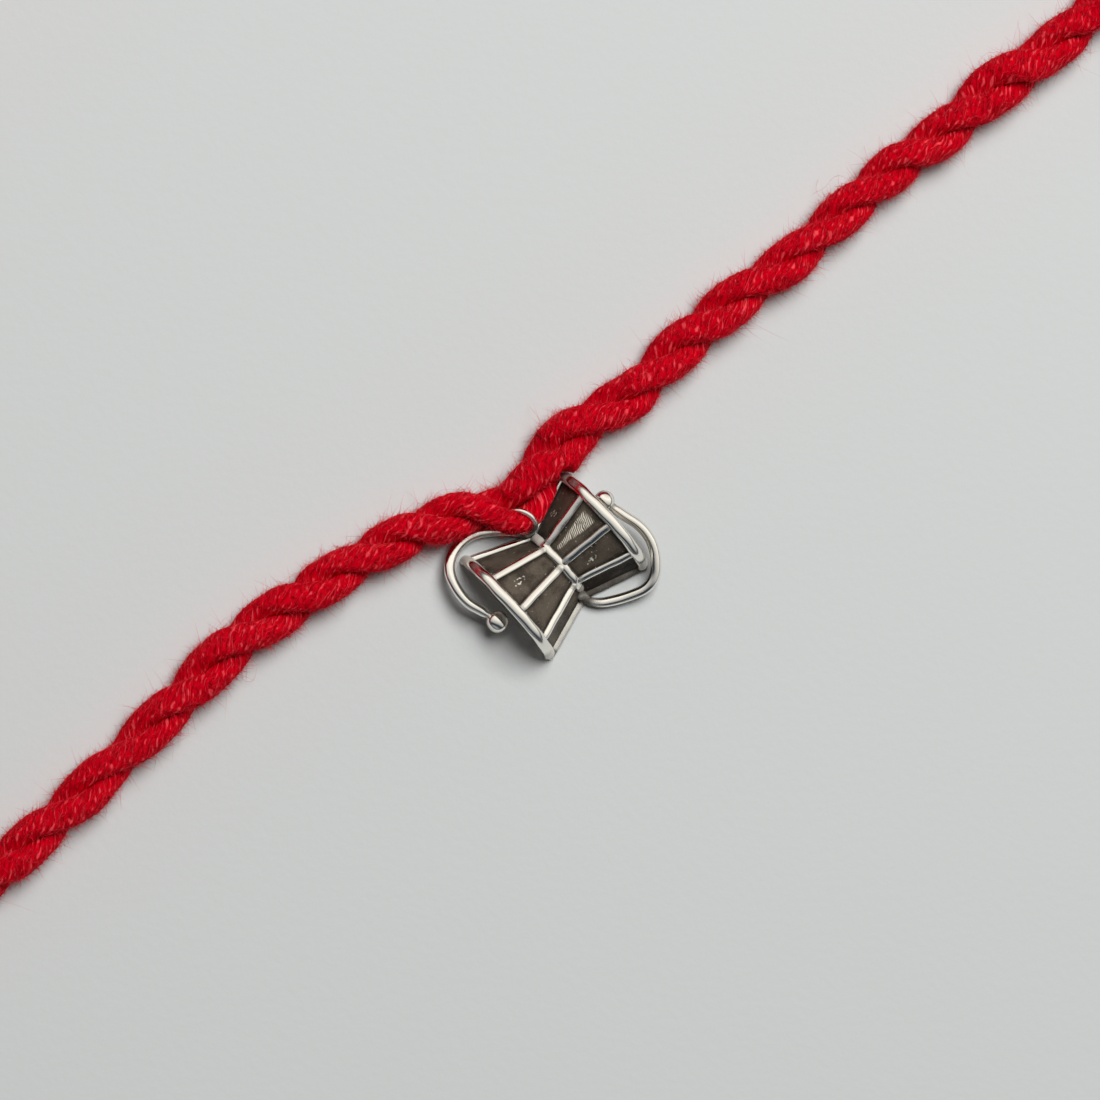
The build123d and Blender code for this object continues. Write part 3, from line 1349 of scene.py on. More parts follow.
@dataclass(frozen=True)
class Fuzz:
    """The fibres that lie on strands of yarn, as a number to the millimetre, and stand out of them."""

    lying: float = 12.0
    standing: tuple[FibreKind, ...] = (DENSE_FUZZ, CURLY_FUZZ, HAIRS, STRAYS)
    # How much of it is kept on the far side of the loop
    thinned: float = 0.45
    seed: int = 5

    def roots(self, strand: Strand, rate: float, draw: Draws) -> tuple[Array, Array]:
        """Random places on a strand's open sides: the distance along it and the angle round it.

        Args:
            strand: the strand.
            rate: how many there are to the millimetre.
            draw: the source of the places.

        Returns:
            The distances and the angles.
        """
        count = int(strand.length * rate)
        arc, angle = draw.uniform(0, strand.length, count), draw.uniform(0, FULL_TURN, count)
        _, out = strand.skin(arc, angle, 0.0)
        bare = (out * strand.read(strand.outward, arc)).sum(axis=1) > -0.5
        far = np.minimum(arc, strand.length - arc) > SEEN_REACH * 1.1
        kept = bare & (out[:, 2] > -0.6) & ~(far & (draw.random(count) > self.thinned))
        return arc[kept], angle[kept]

    def add_lying(self, shape: Shape, strand: Strand, number: int) -> None:
        """Adds fibres that follow the plies and lift off a little.

        Args:
            shape: what they are added to.
            strand: the strand.
            number: the strand's number, for the seed.
        """
        draw = np.random.default_rng(self.seed + number)
        arc, angle = self.roots(strand, self.lying, draw)
        count = len(arc)
        run = draw.uniform(0.9, 2.8, count)
        if not strand.closed:
            arc = np.minimum(arc, np.maximum(strand.length - run, 0))
        slant = draw.normal(0, 0.42, count)
        share = np.linspace(0, 1, 6)[None, :]
        along = arc[:, None] + run[:, None] * share
        turn = angle[:, None] + slant[:, None] * share + draw.normal(0, 0.03, (count, 6))
        height = draw.uniform(0.035, 0.085, count)[:, None] * np.sin(math.pi * (0.08 + 0.84 * share))
        paths, _ = strand.skin(along, turn, height - 0.015)
        radius, mask = draw.uniform(0.018, 0.032, count), draw.uniform(0.35, 1.0, count)
        add_fibres(shape, paths, radius, draw, mask)

    def add_standing(self, shape: Shape, strand: Strand, number: int) -> None:
        """Adds the short dense fuzz, curlier fibres, longer hairs and a few long strays.

        Args:
            shape: what they are added to.
            strand: the strand.
            number: the strand's number, for the seed.
        """
        draw = np.random.default_rng(self.seed + 50 + number)
        for kind in self.standing:
            arc, angle = self.roots(strand, kind.rate, draw)
            count = len(arc)
            root, out = strand.skin(arc, angle, -0.05)
            ahead, _ = strand.skin(arc + 0.3, angle, -0.05)
            drift = unit(ahead - root) * np.where(draw.random(count) < 0.7, 1, -1)[:, None]
            lean = draw.uniform(0.2, 1.9, count)[:, None]
            way = unit(out + drift * lean + draw.normal(0, 0.45, (count, 3)))
            length = kind.shortest + (kind.longest - kind.shortest) * draw.random(count) ** 1.8
            bend = draw.normal(0, kind.curl, (count, 3)) + drift * 0.3
            if kind is STRAYS:
                path = self.curled(root, out, length, kind.points, draw)
            else:
                share = np.linspace(0, 1, kind.points)[None, :, None]
                run = way[:, None] * share + bend[:, None] * share**2
                path = root[:, None] + run * length[:, None, None]
            mask = draw.uniform(0.3, 0.9, count)
            add_fibres(shape, path, np.full(count, kind.radius), draw, mask)

    def curled(self, root: Array, out: Array, length: Array, steps: int, draw: Draws) -> Array:
        """Long strays, which curl as they leave the strand and sink to the surface that they lie on.

        Args:
            root: where each one starts.
            out: the way out of the strand there.
            length: how long each one is.
            steps: how many points each one has.
            draw: the source of the curls.

        Returns:
            The strays' points, as fibres by points by three.
        """
        count = len(root)
        share = np.linspace(0, 1, steps)[None, :]
        reach = share * length[:, None]
        bend = draw.uniform(0.25, 0.95, (count, 1)) * draw.choice((-1, 1), (count, 1))
        rate = draw.uniform(0.8, 2.2, (count, 1))
        wave = 0.6 * np.sin(rate * reach + draw.uniform(0, FULL_TURN, (count, 1)))
        heading = np.arctan2(out[:, 1], out[:, 0])[:, None] + bend * reach + wave
        step = (length / (steps - 1))[:, None]
        path = np.zeros((count, steps, 3))
        path[:, 1:, 0] = np.cumsum(np.cos(heading[:, :-1]) * step, axis=1)
        path[:, 1:, 1] = np.cumsum(np.sin(heading[:, :-1]) * step, axis=1)
        path = path + root[:, None]
        path[..., 2] = 0.03 + (path[..., 2] - 0.03) * (1 - share) ** 0.8
        return path


@dataclass(frozen=True)
class RingPassage:
    """How the strands go through the jump ring and on beside the drum, in millimetres along them.

    A number that ends in reach is how far its effect is felt along the strand.
    """

    reach_before: float = 2.4
    reach_after: float = 3.0
    # Beside the drum, the first strand is pressed outwards and down, and is fuller
    beside_place: float = 3.0
    beside_reach: float = 1.9
    beside_out: float = 0.55
    beside_down: float = 0.30
    beside_swell: float = 0.25
    # The second strand follows the first, and is fuller just past the ring
    follow: float = 0.7
    swell: float = 0.14
    swell_place: float = 1.2
    swell_reach: float = 1.8
    # The ring pinches the first strand round
    pinch_reach: float = 0.7
    pinch_radius: float = 1.02


@dataclass
class WristThread:
    """The loop of two twisted strands, from the charm round the right, the far side and the left."""

    diameter: float = 3.8
    # The corners of its line, which starts and ends beside the jump ring and rises through the knot
    corners: tuple[Place, ...] = (
        (-2.9, 6.5, 1.9),
        (-1.0, 8.6, 1.9),
        (3.2, 12.5, 1.9),
        (8.5, 16.1, 1.9),
        (16.9, 23.5, 1.9),
        (27.8, 32.4, 1.9),
        (38.8, 41.0, 1.9),
        (46.6, 47.2, 1.9),
        (50.6, 55.1, 1.9),
        (48.8, 63.9, 1.9),
        (41.8, 69.7, 1.9),
        (28.7, 72.9, 1.9),
        (7.2, 73.3, 1.9),
        (-17.8, 68.3, 2.7),
        (-40.8, 56.9, 2.7),
        (-57.8, 39.4, 1.9),
        (-67.3, 17.4, 1.9),
        (-70.5, -5.1, 1.9),
        (-69.3, -18.5, 1.9),
        (-63.9, -26.3, 1.9),
        (-55.4, -29.2, 1.9),
        (-46.9, -26.3, 1.9),
        (-41.1, -20.6, 1.9),
        (-35.7, -15.9, 1.9),
        (-29.1, -8.6, 1.9),
        (-22.8, -3.6, 1.9),
        (-16.3, 0.5, 1.9),
        (-10.2, 3.8, 1.9),
        (-4.8, 4.4, 1.9),
        (-2.9, 6.5, 1.9),
    )
    # How finely the line is read, and how far apart the rows of the strands' points are
    line_steps: int = 48
    fine_rows: int = 4000
    row_gap: float = 0.243
    hidden_row_gap: float = 0.44
    ring_place: Place = (-2.74, 3.76, 2.05)
    passage: RingPassage = RingPassage()
    # Half-turns of the twist: where the thread is narrowest, in photograph pixels along the straight
    # line from the place (0, 868) to the place (1100, 8)
    pixels_to_mm: float = 12.0
    left_nodes: tuple[float, ...] = (86, 173, 255, 336, 407, 477, 540, 597)
    right_nodes: tuple[float, ...] = (665, 742, 815, 883, 958, 1031, 1100, 1158, 1224, 1305, 1380)
    node_start: tuple[float, float] = (-45.88, -25.2)
    node_way: tuple[float, float] = (0.7875, 0.6157)
    charm_place: float = 640.0
    hidden_half_turn: float = 6.3
    # How far the twist is evened out along the thread, in millimetres to both sides
    twist_blend: float = 2.4
    # Where the thread lies to the right of its line, and how much thicker it is: place, shift, girth
    lay: tuple[Place, ...] = (
        (40, 0.08, 0.95),
        (95, 0.13, 0.91),
        (118, 0.13, 0.97),
        (140, -0.03, 0.91),
        (165, 0.05, 0.88),
        (205, 0.13, 0.92),
        (260, 0.36, 0.96),
        (295, 0.22, 1.01),
        (338, 0.01, 0.99),
        (370, 0.12, 1.00),
        (410, 0.30, 1.01),
        (450, 0.10, 0.93),
        (510, 0.15, 0.93),
        (558, 0.10, 0.97),
        (582, -0.26, 0.93),
        (600, -0.32, 0.94),
        (622, 0.25, 1.00),
        (645, 0.45, 1.00),
        (673, 0.08, 1.10),
        (690, 0.26, 1.18),
        (706, 0.05, 1.10),
        (745, 0.25, 1.00),
        (785, 0.64, 0.97),
        (803, 0.32, 0.95),
        (850, -0.10, 1.00),
        (920, -0.04, 0.98),
        (945, 0.08, 0.92),
        (995, 0.42, 0.94),
        (1012, 0.38, 0.88),
        (1065, 0.17, 0.91),
        (1135, -0.06, 0.93),
        (1195, 0.25, 0.96),
        (1260, -0.13, 1.08),
        (1300, 0.15, 1.12),
        (1325, 0.25, 0.93),
        (1345, 0.20, 0.96),
    )
    offset_side: float = 0.95
    offset_up: float = 0.84
    thick: float = 1.0
    wide: float = 1.34
    ply_pitch: float = 4.65
    fuzz: Fuzz = Fuzz()

    def build(self, materials: dict[str, Material]) -> list[bpy.types.Object]:
        """Args:
            materials: the materials by name.

        Returns:
            The pieces.
        """
        line = nurbs_line("thread_line", np.array(self.corners), self.line_steps)
        line = resample(line, self.fine_rows)
        length = arc_lengths(line)[-1]
        line = line[self.row_places(length)]
        side = unit(np.cross(np.roll(line, -1, axis=0) - np.roll(line, 1, axis=0), UP))
        shift, girth = self.unevenness(line, length)
        rope = Rope(
            line=line + side * shift[:, None],
            phase=self.twist(line, length),
            closed=True,
            offset_side=self.offset_side,
            offset_up=self.offset_up,
            thick=self.thick,
            wide=self.wide,
            ply_pitch=self.ply_pitch,
            seed=21,
            girth=girth,
        )
        strands = rope.strands()
        self.lead_through_ring(strands)
        bodies = Shape()
        for strand in strands:
            strand.add_to(bodies)
        self.keep_off_drum(bodies)
        bodies.keep_above(YARN_CLEARANCE)
        self.rest_on_wire(bodies)
        twisted = bodies.make("thread_strands", materials["red_yarn"])
        pieces = [twisted]
        for number, strand in enumerate(strands):
            for name, add in (
                ("thread_lying_fibres", self.fuzz.add_lying),
                ("thread_fuzz", self.fuzz.add_standing),
            ):
                fibres = Shape()
                add(fibres, strand, number)
                piece = fibres.make(f"{name}_{number + 1}", materials["red_fibre"])
                pieces.append(piece)
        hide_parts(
            "thread_far_left",
            "thread_left_turn",
            "thread_front_left",
            "thread_at_charm",
            "thread_front_right",
            "thread_right_turn",
            "thread_far_right",
        )
        LOG.info("thread loop: %.1f mm", length)
        return pieces

    def row_places(self, length: float) -> Array:
        """Which of the fine rows of the loop carry a row of the strands' points.

        Args:
            length: the loop's length.

        Returns:
            The rows' numbers.
        """
        even = np.linspace(0, length, self.fine_rows)
        seen = np.minimum(even, length - even) < SEEN_REACH
        rows = np.cumsum(1 / np.where(seen, self.row_gap, self.hidden_row_gap))
        rows = rows * length / self.fine_rows
        return np.unique(np.searchsorted(rows, np.arange(0, rows[-1])))[:-1]

    def arcs_at(self, places: tuple[float, ...], line: Array, length: float) -> Array:
        """The distance along the loop at places that are measured in the photograph.

        Args:
            places: the places, in pixels along the photograph's straight line.
            line: the loop's points.
            length: the loop's length.

        Returns:
            The distances, in millimetres.
        """
        arc = arc_lengths(line)
        along = (line[:, :2] - np.array(self.node_start)) @ np.array(self.node_way) * self.pixels_to_mm
        after, before = arc < SEEN_REACH, arc > length - SEEN_REACH
        wanted = np.array(places)
        right = np.interp(wanted, along[after], arc[after])
        left = np.interp(wanted, along[before], arc[before])
        return np.where(wanted > self.charm_place, right, left)

    def unevenness(self, line: Array, length: float) -> tuple[Array, Array]:
        """How far the thread lies beside its line, and its girth, at each of the line's points.

        Args:
            line: the loop's points.
            length: the loop's length.

        Returns:
            The shift to the right, and the girth.
        """
        table = np.array(self.lay)
        arcs = self.arcs_at(tuple(table[:, 0]), line, length)
        order = np.argsort(arcs)
        arc = arc_lengths(line)
        shift, girth = (
            np.interp(arc, arcs[order], table[order, column], period=length) for column in (1, 2)
        )
        return shift, girth

    def twist(self, line: Array, length: float) -> Array:
        """The angle of the first strand round the line, with the photograph's narrow places.

        Args:
            line: the loop's points.
            length: the loop's length.

        Returns:
            The angle at each point, in radians: 90 degrees where the first strand is on top.
        """
        arc = arc_lengths(line)
        right = self.arcs_at(self.right_nodes, line, length)
        left = self.arcs_at(self.left_nodes, line, length)
        hidden = (left[0] - right[-1]) / self.hidden_half_turn
        count = 2 * round((len(self.left_nodes) + len(self.right_nodes) - 1 + hidden) / 2)
        turns_right = np.arange(1, len(self.right_nodes) + 1)
        turns_left = np.arange(1 - len(self.left_nodes), 1) + count
        places = np.concatenate((left - length, right, left, right + length))
        turns = np.concatenate((turns_left - count, turns_right, turns_left, turns_right + count))
        weights = np.hanning(19)[1:-1]
        steps = np.linspace(-self.twist_blend, self.twist_blend, len(weights))
        blended = sum(
            weight * np.interp(arc + step, places, turns) for step, weight in zip(steps, weights)
        )
        return math.pi / 2 - math.pi * (blended / weights.sum())

    def lead_through_ring(self, strands: list[Strand]) -> None:
        """Moves the first strand sideways, so that it goes through the jump ring and on beside the drum.

        Args:
            strands: the two strands, which are changed.
        """
        ring, passage = np.array(self.ring_place), self.passage
        first, second = strands
        nearest = int(np.linalg.norm(first.centre - ring, axis=1).argmin())
        gap = first.arc - first.arc[nearest]
        gap = (gap + first.length / 2) % first.length - first.length / 2
        shift = ring - first.centre[nearest]
        near = hill(gap, 0.0, np.where(gap > 0, passage.reach_after, passage.reach_before))[:, None]
        beside = hill(gap, passage.beside_place, passage.beside_reach)
        first.centre = first.centre + near * shift - DRUM_OUT * (passage.beside_out * beside)[:, None]
        first.centre = first.centre - UP * (passage.beside_down * beside)[:, None]
        second.centre = second.centre + near * shift * passage.follow
        fuller = 1 + passage.swell * hill(gap, passage.swell_place, passage.swell_reach)
        second.thick, second.wide = second.thick * fuller, second.wide * fuller
        pinch = hill(gap, 0.0, passage.pinch_reach)
        fuller = 1 + passage.beside_swell * beside
        first.thick = first.thick * (1 - pinch) * fuller + passage.pinch_radius * pinch
        first.wide = first.wide * (1 - pinch) * fuller + passage.pinch_radius * pinch

    def keep_off_drum(self, bodies: Shape) -> None:
        """Presses the strands flat where they lie against the drum's side.

        Args:
            bodies: the strands' bodies, which are changed.
        """
        softness = 0.08
        for points in bodies.points:
            along, out = from_drum(points)
            side = DRUM_FORM.side(along, points[:, 2])
            chosen = (out > 2.5) & (out < side + 0.5) & (along > -1.0) & (side > 1.0)
            pressed = side + softness * np.log1p(np.exp((out - side) / softness))
            points += DRUM_OUT * np.where(chosen, pressed - out, 0.0)[:, None]

    def rest_on_wire(self, bodies: Shape) -> None:
        """Keeps the strands above the clapper's wire that they lie on.

        Args:
            bodies: the strands' bodies, which are changed.
        """
        wire = LEFT_WIRE.line()
        reach = LEFT_WIRE.wire / 2 + 0.05
        middle = wire[:, :2].mean(axis=0)
        around = 9.0
        for points in bodies.points:
            near = np.nonzero(np.linalg.norm(points[:, :2] - middle, axis=1) < around)[0]
            gap = np.linalg.norm(points[near, None, :2] - wire[None, :, :2], axis=2)
            closest = gap.argmin(axis=1)
            beside = gap[np.arange(len(near)), closest]
            over = beside < reach
            top = wire[closest, 2] + np.sqrt(np.maximum(reach**2 - beside**2, 0))
            chosen = near[over]
            points[chosen, 2] = np.maximum(points[chosen, 2], top[over])


@dataclass
class TieKnot:
    """The plain knot that closes the loop: turns of one strand, and two short frayed ends."""

    middle: Place = (-29.3, 62.6, 2.7)
    way: Place = (-0.896, -0.444, 0.0)
    length: float = 8.0
    diameter: float = 5.4
    turns: float = 3.6
    # The wound strand's half-width across the knot and along it, and its plies' pitch
    turn_thick: float = 0.88
    turn_wide: float = 1.12
    ply_pitch: float = 4.6
    # How much narrower the knot is at both sides, and how much its turns lean
    side_taper: float = 0.16
    lean: float = 0.35
    tail_diameter: float = 3.0
    tail_reach: float = 9.7
    tail_spread: float = 28.0
    tail_half_turn: float = 4.6
    fray_length: float = 2.6
    fray_count: int = 300
    fray_radius: float = 0.72
    fuzz: Fuzz = Fuzz(seed=305)

    def build(self, materials: dict[str, Material]) -> list[bpy.types.Object]:
        """Makes the wound turns, the two ends and their fibres.

        Args:
            materials: the materials by name.

        Returns:
            The pieces.
        """
        winding = self.winding()
        turns = Shape()
        winding.add_to(turns)
        turns.keep_above(YARN_CLEARANCE)
        knot = turns.make("tie_knot_turns", materials["red_yarn"])
        ends = Shape()
        strands = [winding]
        fray = Shape()
        for number, sign in enumerate((-1, 1)):
            tail = self.tail(sign, number)
            for strand in tail:
                strand.add_to(ends)
                self.add_fray(fray, strand, number)
            strands.extend(tail)
        ends.keep_above(YARN_CLEARANCE)
        tails = ends.make("tie_knot_ends", materials["red_yarn"])
        for number, strand in enumerate(strands):
            self.fuzz.add_lying(fray, strand, number)
            self.fuzz.add_standing(fray, strand, number)
        fibres = fray.make("tie_knot_fibres", materials["red_fibre"])
        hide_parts("tie_knot")
        return [knot, tails, fibres]

    def winding(self) -> Strand:
        """The strand that is wound round the thread, tighter at both sides of the knot.

        Returns:
            The strand.
        """
        share = np.linspace(0, 1, 240)
        turn = FULL_TURN * self.turns * share
        way = unit(np.array(self.way))
        side = unit(np.cross(way, UP))
        along = (share - 0.5) * (self.length - 2 * self.turn_thick)
        bulge = 1 - self.side_taper * np.abs(2 * share - 1) ** 3
        radius = (self.diameter / 2 - self.turn_thick) * bulge
        outward = side * np.cos(turn)[:, None] + UP * np.sin(turn)[:, None]
        lean = self.lean * np.sin(turn)
        centre = np.array(self.middle) + way * (along + lean)[:, None] + outward * radius[:, None]
        ahead = unit(np.gradient(centre, axis=0))
        outward = unit(outward - ahead * (outward * ahead).sum(axis=1, keepdims=True))
        sideways = np.cross(ahead, outward)
        tuck = np.minimum(1, np.minimum(share, 1 - share) * 14 + 0.35)
        length = arc_lengths(centre)[-1]
        return Strand(
            centre=centre - outward * ((1 - tuck) * 0.8)[:, None],
            outward=outward,
            sideways=sideways,
            thick=self.turn_thick * tuck,
            wide=self.turn_wide * tuck,
            turns=length / self.ply_pitch,
            seed=71,
        )

    def tail(self, sign: int, number: int) -> list[Strand]:
        """One of the two ends, which curves a little as it leaves the knot.

        Args:
            sign: the side that it spreads to, 1 or -1.
            number: its number, for the seed.

        Returns:
            Its two strands.
        """
        way = unit(np.array(self.way))
        out = np.cross(way, UP)
        turn = math.radians(self.tail_spread * sign)
        middle = np.array(self.middle)
        middle[2] = self.tail_diameter / 2 + 0.02
        share = np.linspace(0, 1, 44)
        bent = turn * (0.7 + 0.5 * share)
        ahead = out * np.cos(bent)[:, None] + way * np.sin(bent)[:, None] * -1
        reach = self.tail_reach - self.fray_length * 0.35
        line = middle + ahead * (share * reach)[:, None]
        rope = Rope(
            line=line,
            phase=math.pi / 2 - math.pi * share * reach / self.tail_half_turn + number,
            closed=False,
            offset_side=0.72,
            offset_up=0.66,
            thick=0.80,
            wide=1.02,
            ply_pitch=3.9,
            seed=90 + 7 * number,
            plies=10,
        )
        strands = rope.strands()
        close = np.clip((1 - share) * 7, 0.0, 1.0) ** 0.5
        narrowed = 0.35 + 0.65 * close
        for strand in strands:
            strand.thick = strand.thick * narrowed
            strand.wide = strand.wide * narrowed
        return strands

    def add_fray(self, shape: Shape, strand: Strand, number: int) -> None:
        """Adds the loose fibres at a cut end, which spread out and down.

        Args:
            shape: what they are added to.
            strand: the strand that is cut.
            number: the end's number.
        """
        draw = np.random.default_rng(400 + number + strand.seed)
        count = self.fray_count
        centre = strand.centre[-5]
        way = unit(strand.centre[-1] - strand.centre[-9])
        side = np.cross(way, UP)
        around = draw.uniform(0, FULL_TURN, count)
        away = np.sqrt(draw.random(count)) * self.fray_radius
        across = side * np.cos(around)[:, None] + UP * np.sin(around)[:, None]
        root = centre + across * away[:, None]
        length = self.fray_length * draw.uniform(0.55, 1.15, count)
        spread = across * (away * 0.55)[:, None] + draw.normal(0, 0.10, (count, 3))
        share = np.linspace(0, 1, 6)[None, :, None]
        bend = draw.normal(0, 0.14, (count, 3)) - UP * 0.22
        path = root[:, None] + (way + spread)[:, None] * share * length[:, None, None]
        path = path + bend[:, None] * share**2 * length[:, None, None]
        radius, mask = draw.uniform(0.03, 0.05, count), draw.uniform(0.2, 0.9, count)
        add_fibres(shape, path, radius, draw, mask)


# Silver drum


def at_drum(along: object, out: object, up: object) -> Array:
    """Places given along the drum's axis from its waist, out towards the thread, and up."""
    along, out, up = np.broadcast_arrays(along, out, up)
    return DRUM_ORIGIN + along[..., None] * DRUM_ALONG + out[..., None] * DRUM_OUT + up[..., None] * UP


def on_cone(along: object, radius: object, angle: object) -> Array:
    """Places at a radius from the axis; the angle is from the top, away from the thread."""
    return at_drum(along, -np.multiply(radius, np.sin(angle)), np.multiply(radius, np.cos(angle)))


@dataclass(frozen=True)
class Clapper:
    """A hooked wire with a ball at its end, in front of one of the drum's heads."""

    corners: tuple[Place, ...]
    wire: float
    ball: float
    seed: int

    def line(self) -> Array:
        """The wire's line, from its foot at the waist to the middle of the ball."""
        corners = np.array([at_drum(*corner) for corner in self.corners])
        return resample(nurbs_line("clapper_line", corners, 24), 110)

    def add_to(self, shape: Shape) -> None:
        """Adds the wire, thinner at its foot and where it enters the ball, and the ball.

        Args:
            shape: what they are added to.
        """
        line = self.line()
        share = np.linspace(0, 1, len(line))
        draw = np.random.default_rng(self.seed)
        radius = self.wire / 2 * (1 + 0.025 * wander(share, 1.0, (3, 5, 9), draw))
        half = self.ball / 2
        foot = hill(share, 0.0, 0.10)
        neck = np.linalg.norm(line - line[-1], axis=1) - half
        radius = radius * (1 - 0.24 * foot)
        radius = radius * (1 - 0.22 * hill(neck, 0.05, 0.28))
        mask = 1.1 * foot + 0.6 * hill(neck, 0.02, 0.18)
        line[:, 2] = np.maximum(line[:, 2], radius + 0.01)
        # Painted shade on the wire's sides that turn away from the top; the foot and the neck are
        # tarnished joints
        add_wire(shape, line, radius, mask, sides=24, shade=0.9)
        add_ball(shape, line[-1], (half, half, half), 0.012, self.seed, 0.05)


LEFT_WIRE = Clapper(
    corners=(
        (0.0, 3.172, 0.616),
        (-1.65, 5.25, 0.594),
        (-4.30, 6.84, 0.66),
        (-7.20, 6.08, 1.54),
        (-8.03, 3.00, 2.112),
        (-7.22, 0.98, 2.2),
        (-7.03, -0.17, 2.2),
    ),
    wire=0.90,
    ball=1.84,
    seed=31,
)
RIGHT_WIRE = Clapper(
    corners=(
        (-0.30, -3.40, 0.616),
        (-0.15, -4.45, 0.616),
        (1.95, -5.78, 0.70),
        (4.77, -6.76, 1.45),
        (6.72, -4.64, 2.0),
        (7.18, -2.37, 2.2),
        (6.42, -0.14, 2.2),
        (6.20, 1.36, 2.2),
    ),
    wire=0.88,
    ball=1.70,
    seed=47,
)


@dataclass
class DrumCharm:
    """The half-round drum: two cones of oxidised sheet in a cage of polished wire."""

    form: DrumForm = DRUM_FORM
    panel_drop: float = 0.15
    # How far the lowest panels on the side away from the thread flare out at the waist
    skirt: float = 0.45
    rim_wire: float = 0.95
    waist_wire: float = 0.78
    rib_wire: float = 0.66
    # The ribs' angles from the top, in degrees, on the left and on the right cone
    left_ribs: tuple[float, ...] = (-80.0, -35.0, 5.0, 45.0, 85.0)
    right_ribs: tuple[float, ...] = (-87.0, -38.5, 2.5, 44.0, 85.0)
    # How thick the flattened wires are, as a share of their width
    rim_flat: float = 0.66
    rib_flat: float = 0.6
    # The heads' rings: share of the rim's radius, out from the end of the cone, tarnish
    head_rings: tuple[Place, ...] = (
        (0.00, 0.26, 0.25),
        (0.35, 0.24, 0.25),
        (0.62, 0.17, 0.35),
        (0.78, 0.08, 0.75),
        (0.80, 0.12, 0.35),
        (0.93, 0.12, 0.25),
        (0.95, 0.02, 0.70),
        (0.96, -0.20, 0.80),
    )
    ring_place: Place = (-2.68, 3.66, 2.10)
    ring_radius: float = 1.20
    ring_wire: float = 0.46
    ring_turn: float = -72.0
    ring_lean: float = 37.0
    # along, out, up, radius
    solder: tuple[tuple[float, float, float, float], ...] = (
        (-0.10, 3.55, 0.95, 0.52),
        (-0.25, -3.45, 0.50, 0.55),
    )

    def build(self, materials: dict[str, Material]) -> list[bpy.types.Object]:
        """Makes the drum's pieces.

        Args:
            materials: the materials by name.

        Returns:
            The pieces.
        """
        polished, oxidised = materials["polished_silver"], materials["oxidised_silver"]
        pieces = []
        for name, fill, material in (
            ("drum_body", self.add_body, oxidised),
            ("drum_heads", self.add_heads, materials["dull_silver"]),
            ("drum_rims", self.add_rims, polished),
            ("drum_ribs", self.add_ribs, polished),
            ("drum_solder", self.add_solder, materials["rough_solder"]),
            ("clapper_left", LEFT_WIRE.add_to, polished),
            ("clapper_right", RIGHT_WIRE.add_to, polished),
            ("jump_ring", self.add_ring, polished),
        ):
            shape = Shape()
            fill(shape)
            shape.keep_above(0.0)
            pieces.append(shape.make(name, material))
        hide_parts("damru_charm")
        return pieces

    def cones(self) -> tuple[tuple[float, float, tuple[float, ...]], ...]:
        """Each cone's reach along the axis from the waist, its rim's radius and its ribs' angles.

        Returns:
            The left cone's, with a reach below 0, and the right cone's.
        """
        return (
            (-self.form.left_length, self.form.left_radius, self.left_ribs),
            (self.form.right_length, self.form.right_radius, self.right_ribs),
        )

    def add_body(self, shape: Shape) -> None:
        """Adds the two cones, which sag a little between the ribs, with a flat back.

        Args:
            shape: what they are added to.
        """
        left = -self.form.left_length * np.linspace(1, 0, 26)
        right = self.form.right_length * np.linspace(0, 1, 26)[1:]
        along = np.concatenate((left, right))
        angle = np.radians(np.linspace(-90, 90, 145))
        ribs = np.where((along < 0)[:, None], np.radians(self.left_ribs), np.radians(self.right_ribs))
        nearest = np.abs(angle[None, :, None] - ribs[:, None, :]).min(axis=2)
        between = np.clip(nearest / math.radians(20), 0, 1)
        radius = self.form.cone_radius(along)[:, None] - self.panel_drop
        sag = 0.022 * radius * between**2
        draw = np.random.default_rng(12)
        dents = np.zeros((len(along), len(angle)))
        waves = 9
        for _ in range(waves):
            rate, turn, phase = draw.uniform(0.4, 2.2), draw.uniform(2, 9), draw.uniform(0, FULL_TURN)
            dents += np.sin(rate * along[:, None] + turn * angle[None, :] + phase) / waves
        length = np.where(along < 0, self.form.left_length, self.form.right_length)
        skirt = np.clip((angle[None, :] - math.radians(62)) / math.radians(20), 0, 1)
        skirt = skirt * (0.16 + self.skirt * (1 - np.abs(along) / length))[:, None]
        points = on_cone(along[:, None], radius - sag + skirt + 0.035 * dents, angle[None, :])
        edge = np.minimum(np.abs(along), length - np.abs(along))[:, None]
        # Painted shade on the right cone's lowest panels, which turn away from the light
        shaded_lower_right = (along > 0)[:, None] & (angle > math.radians(46))[None, :]
        mask = self.body_tarnish(nearest * radius, edge) + 0.40 * shaded_lower_right
        rows, columns = mask.shape
        points[:, 0, 2] = points[:, -1, 2] = 0.0
        faces = grid_faces(rows, columns, False, False)[:, ::-1].tolist()
        for row in range(rows - 1):
            here, after = row * columns, (row + 1) * columns
            faces.append([here + columns - 1, here, after, after + columns - 1])
        faces.extend(end_faces(rows, columns))
        shape.add(points.reshape(-1, 3), faces, mask.ravel())

    @staticmethod
    def body_tarnish(from_rib: Array, from_edge: Array) -> Array:
        """The sheet's tarnish, which is darkest beside the ribs, the rims and the waist.

        Args:
            from_rib: the distance from the nearest rib's middle.
            from_edge: the distance from the nearest rim or the waist.

        Returns:
            The mask.
        """
        beside_rib = 0.42 + 0.45 * np.exp(-((from_rib - 0.2) / 0.33).clip(0) ** 2)
        beside_edge = 0.42 + 0.4 * np.exp(-((from_edge - 0.3) / 0.35).clip(0) ** 2)
        return np.maximum(beside_rib, beside_edge)

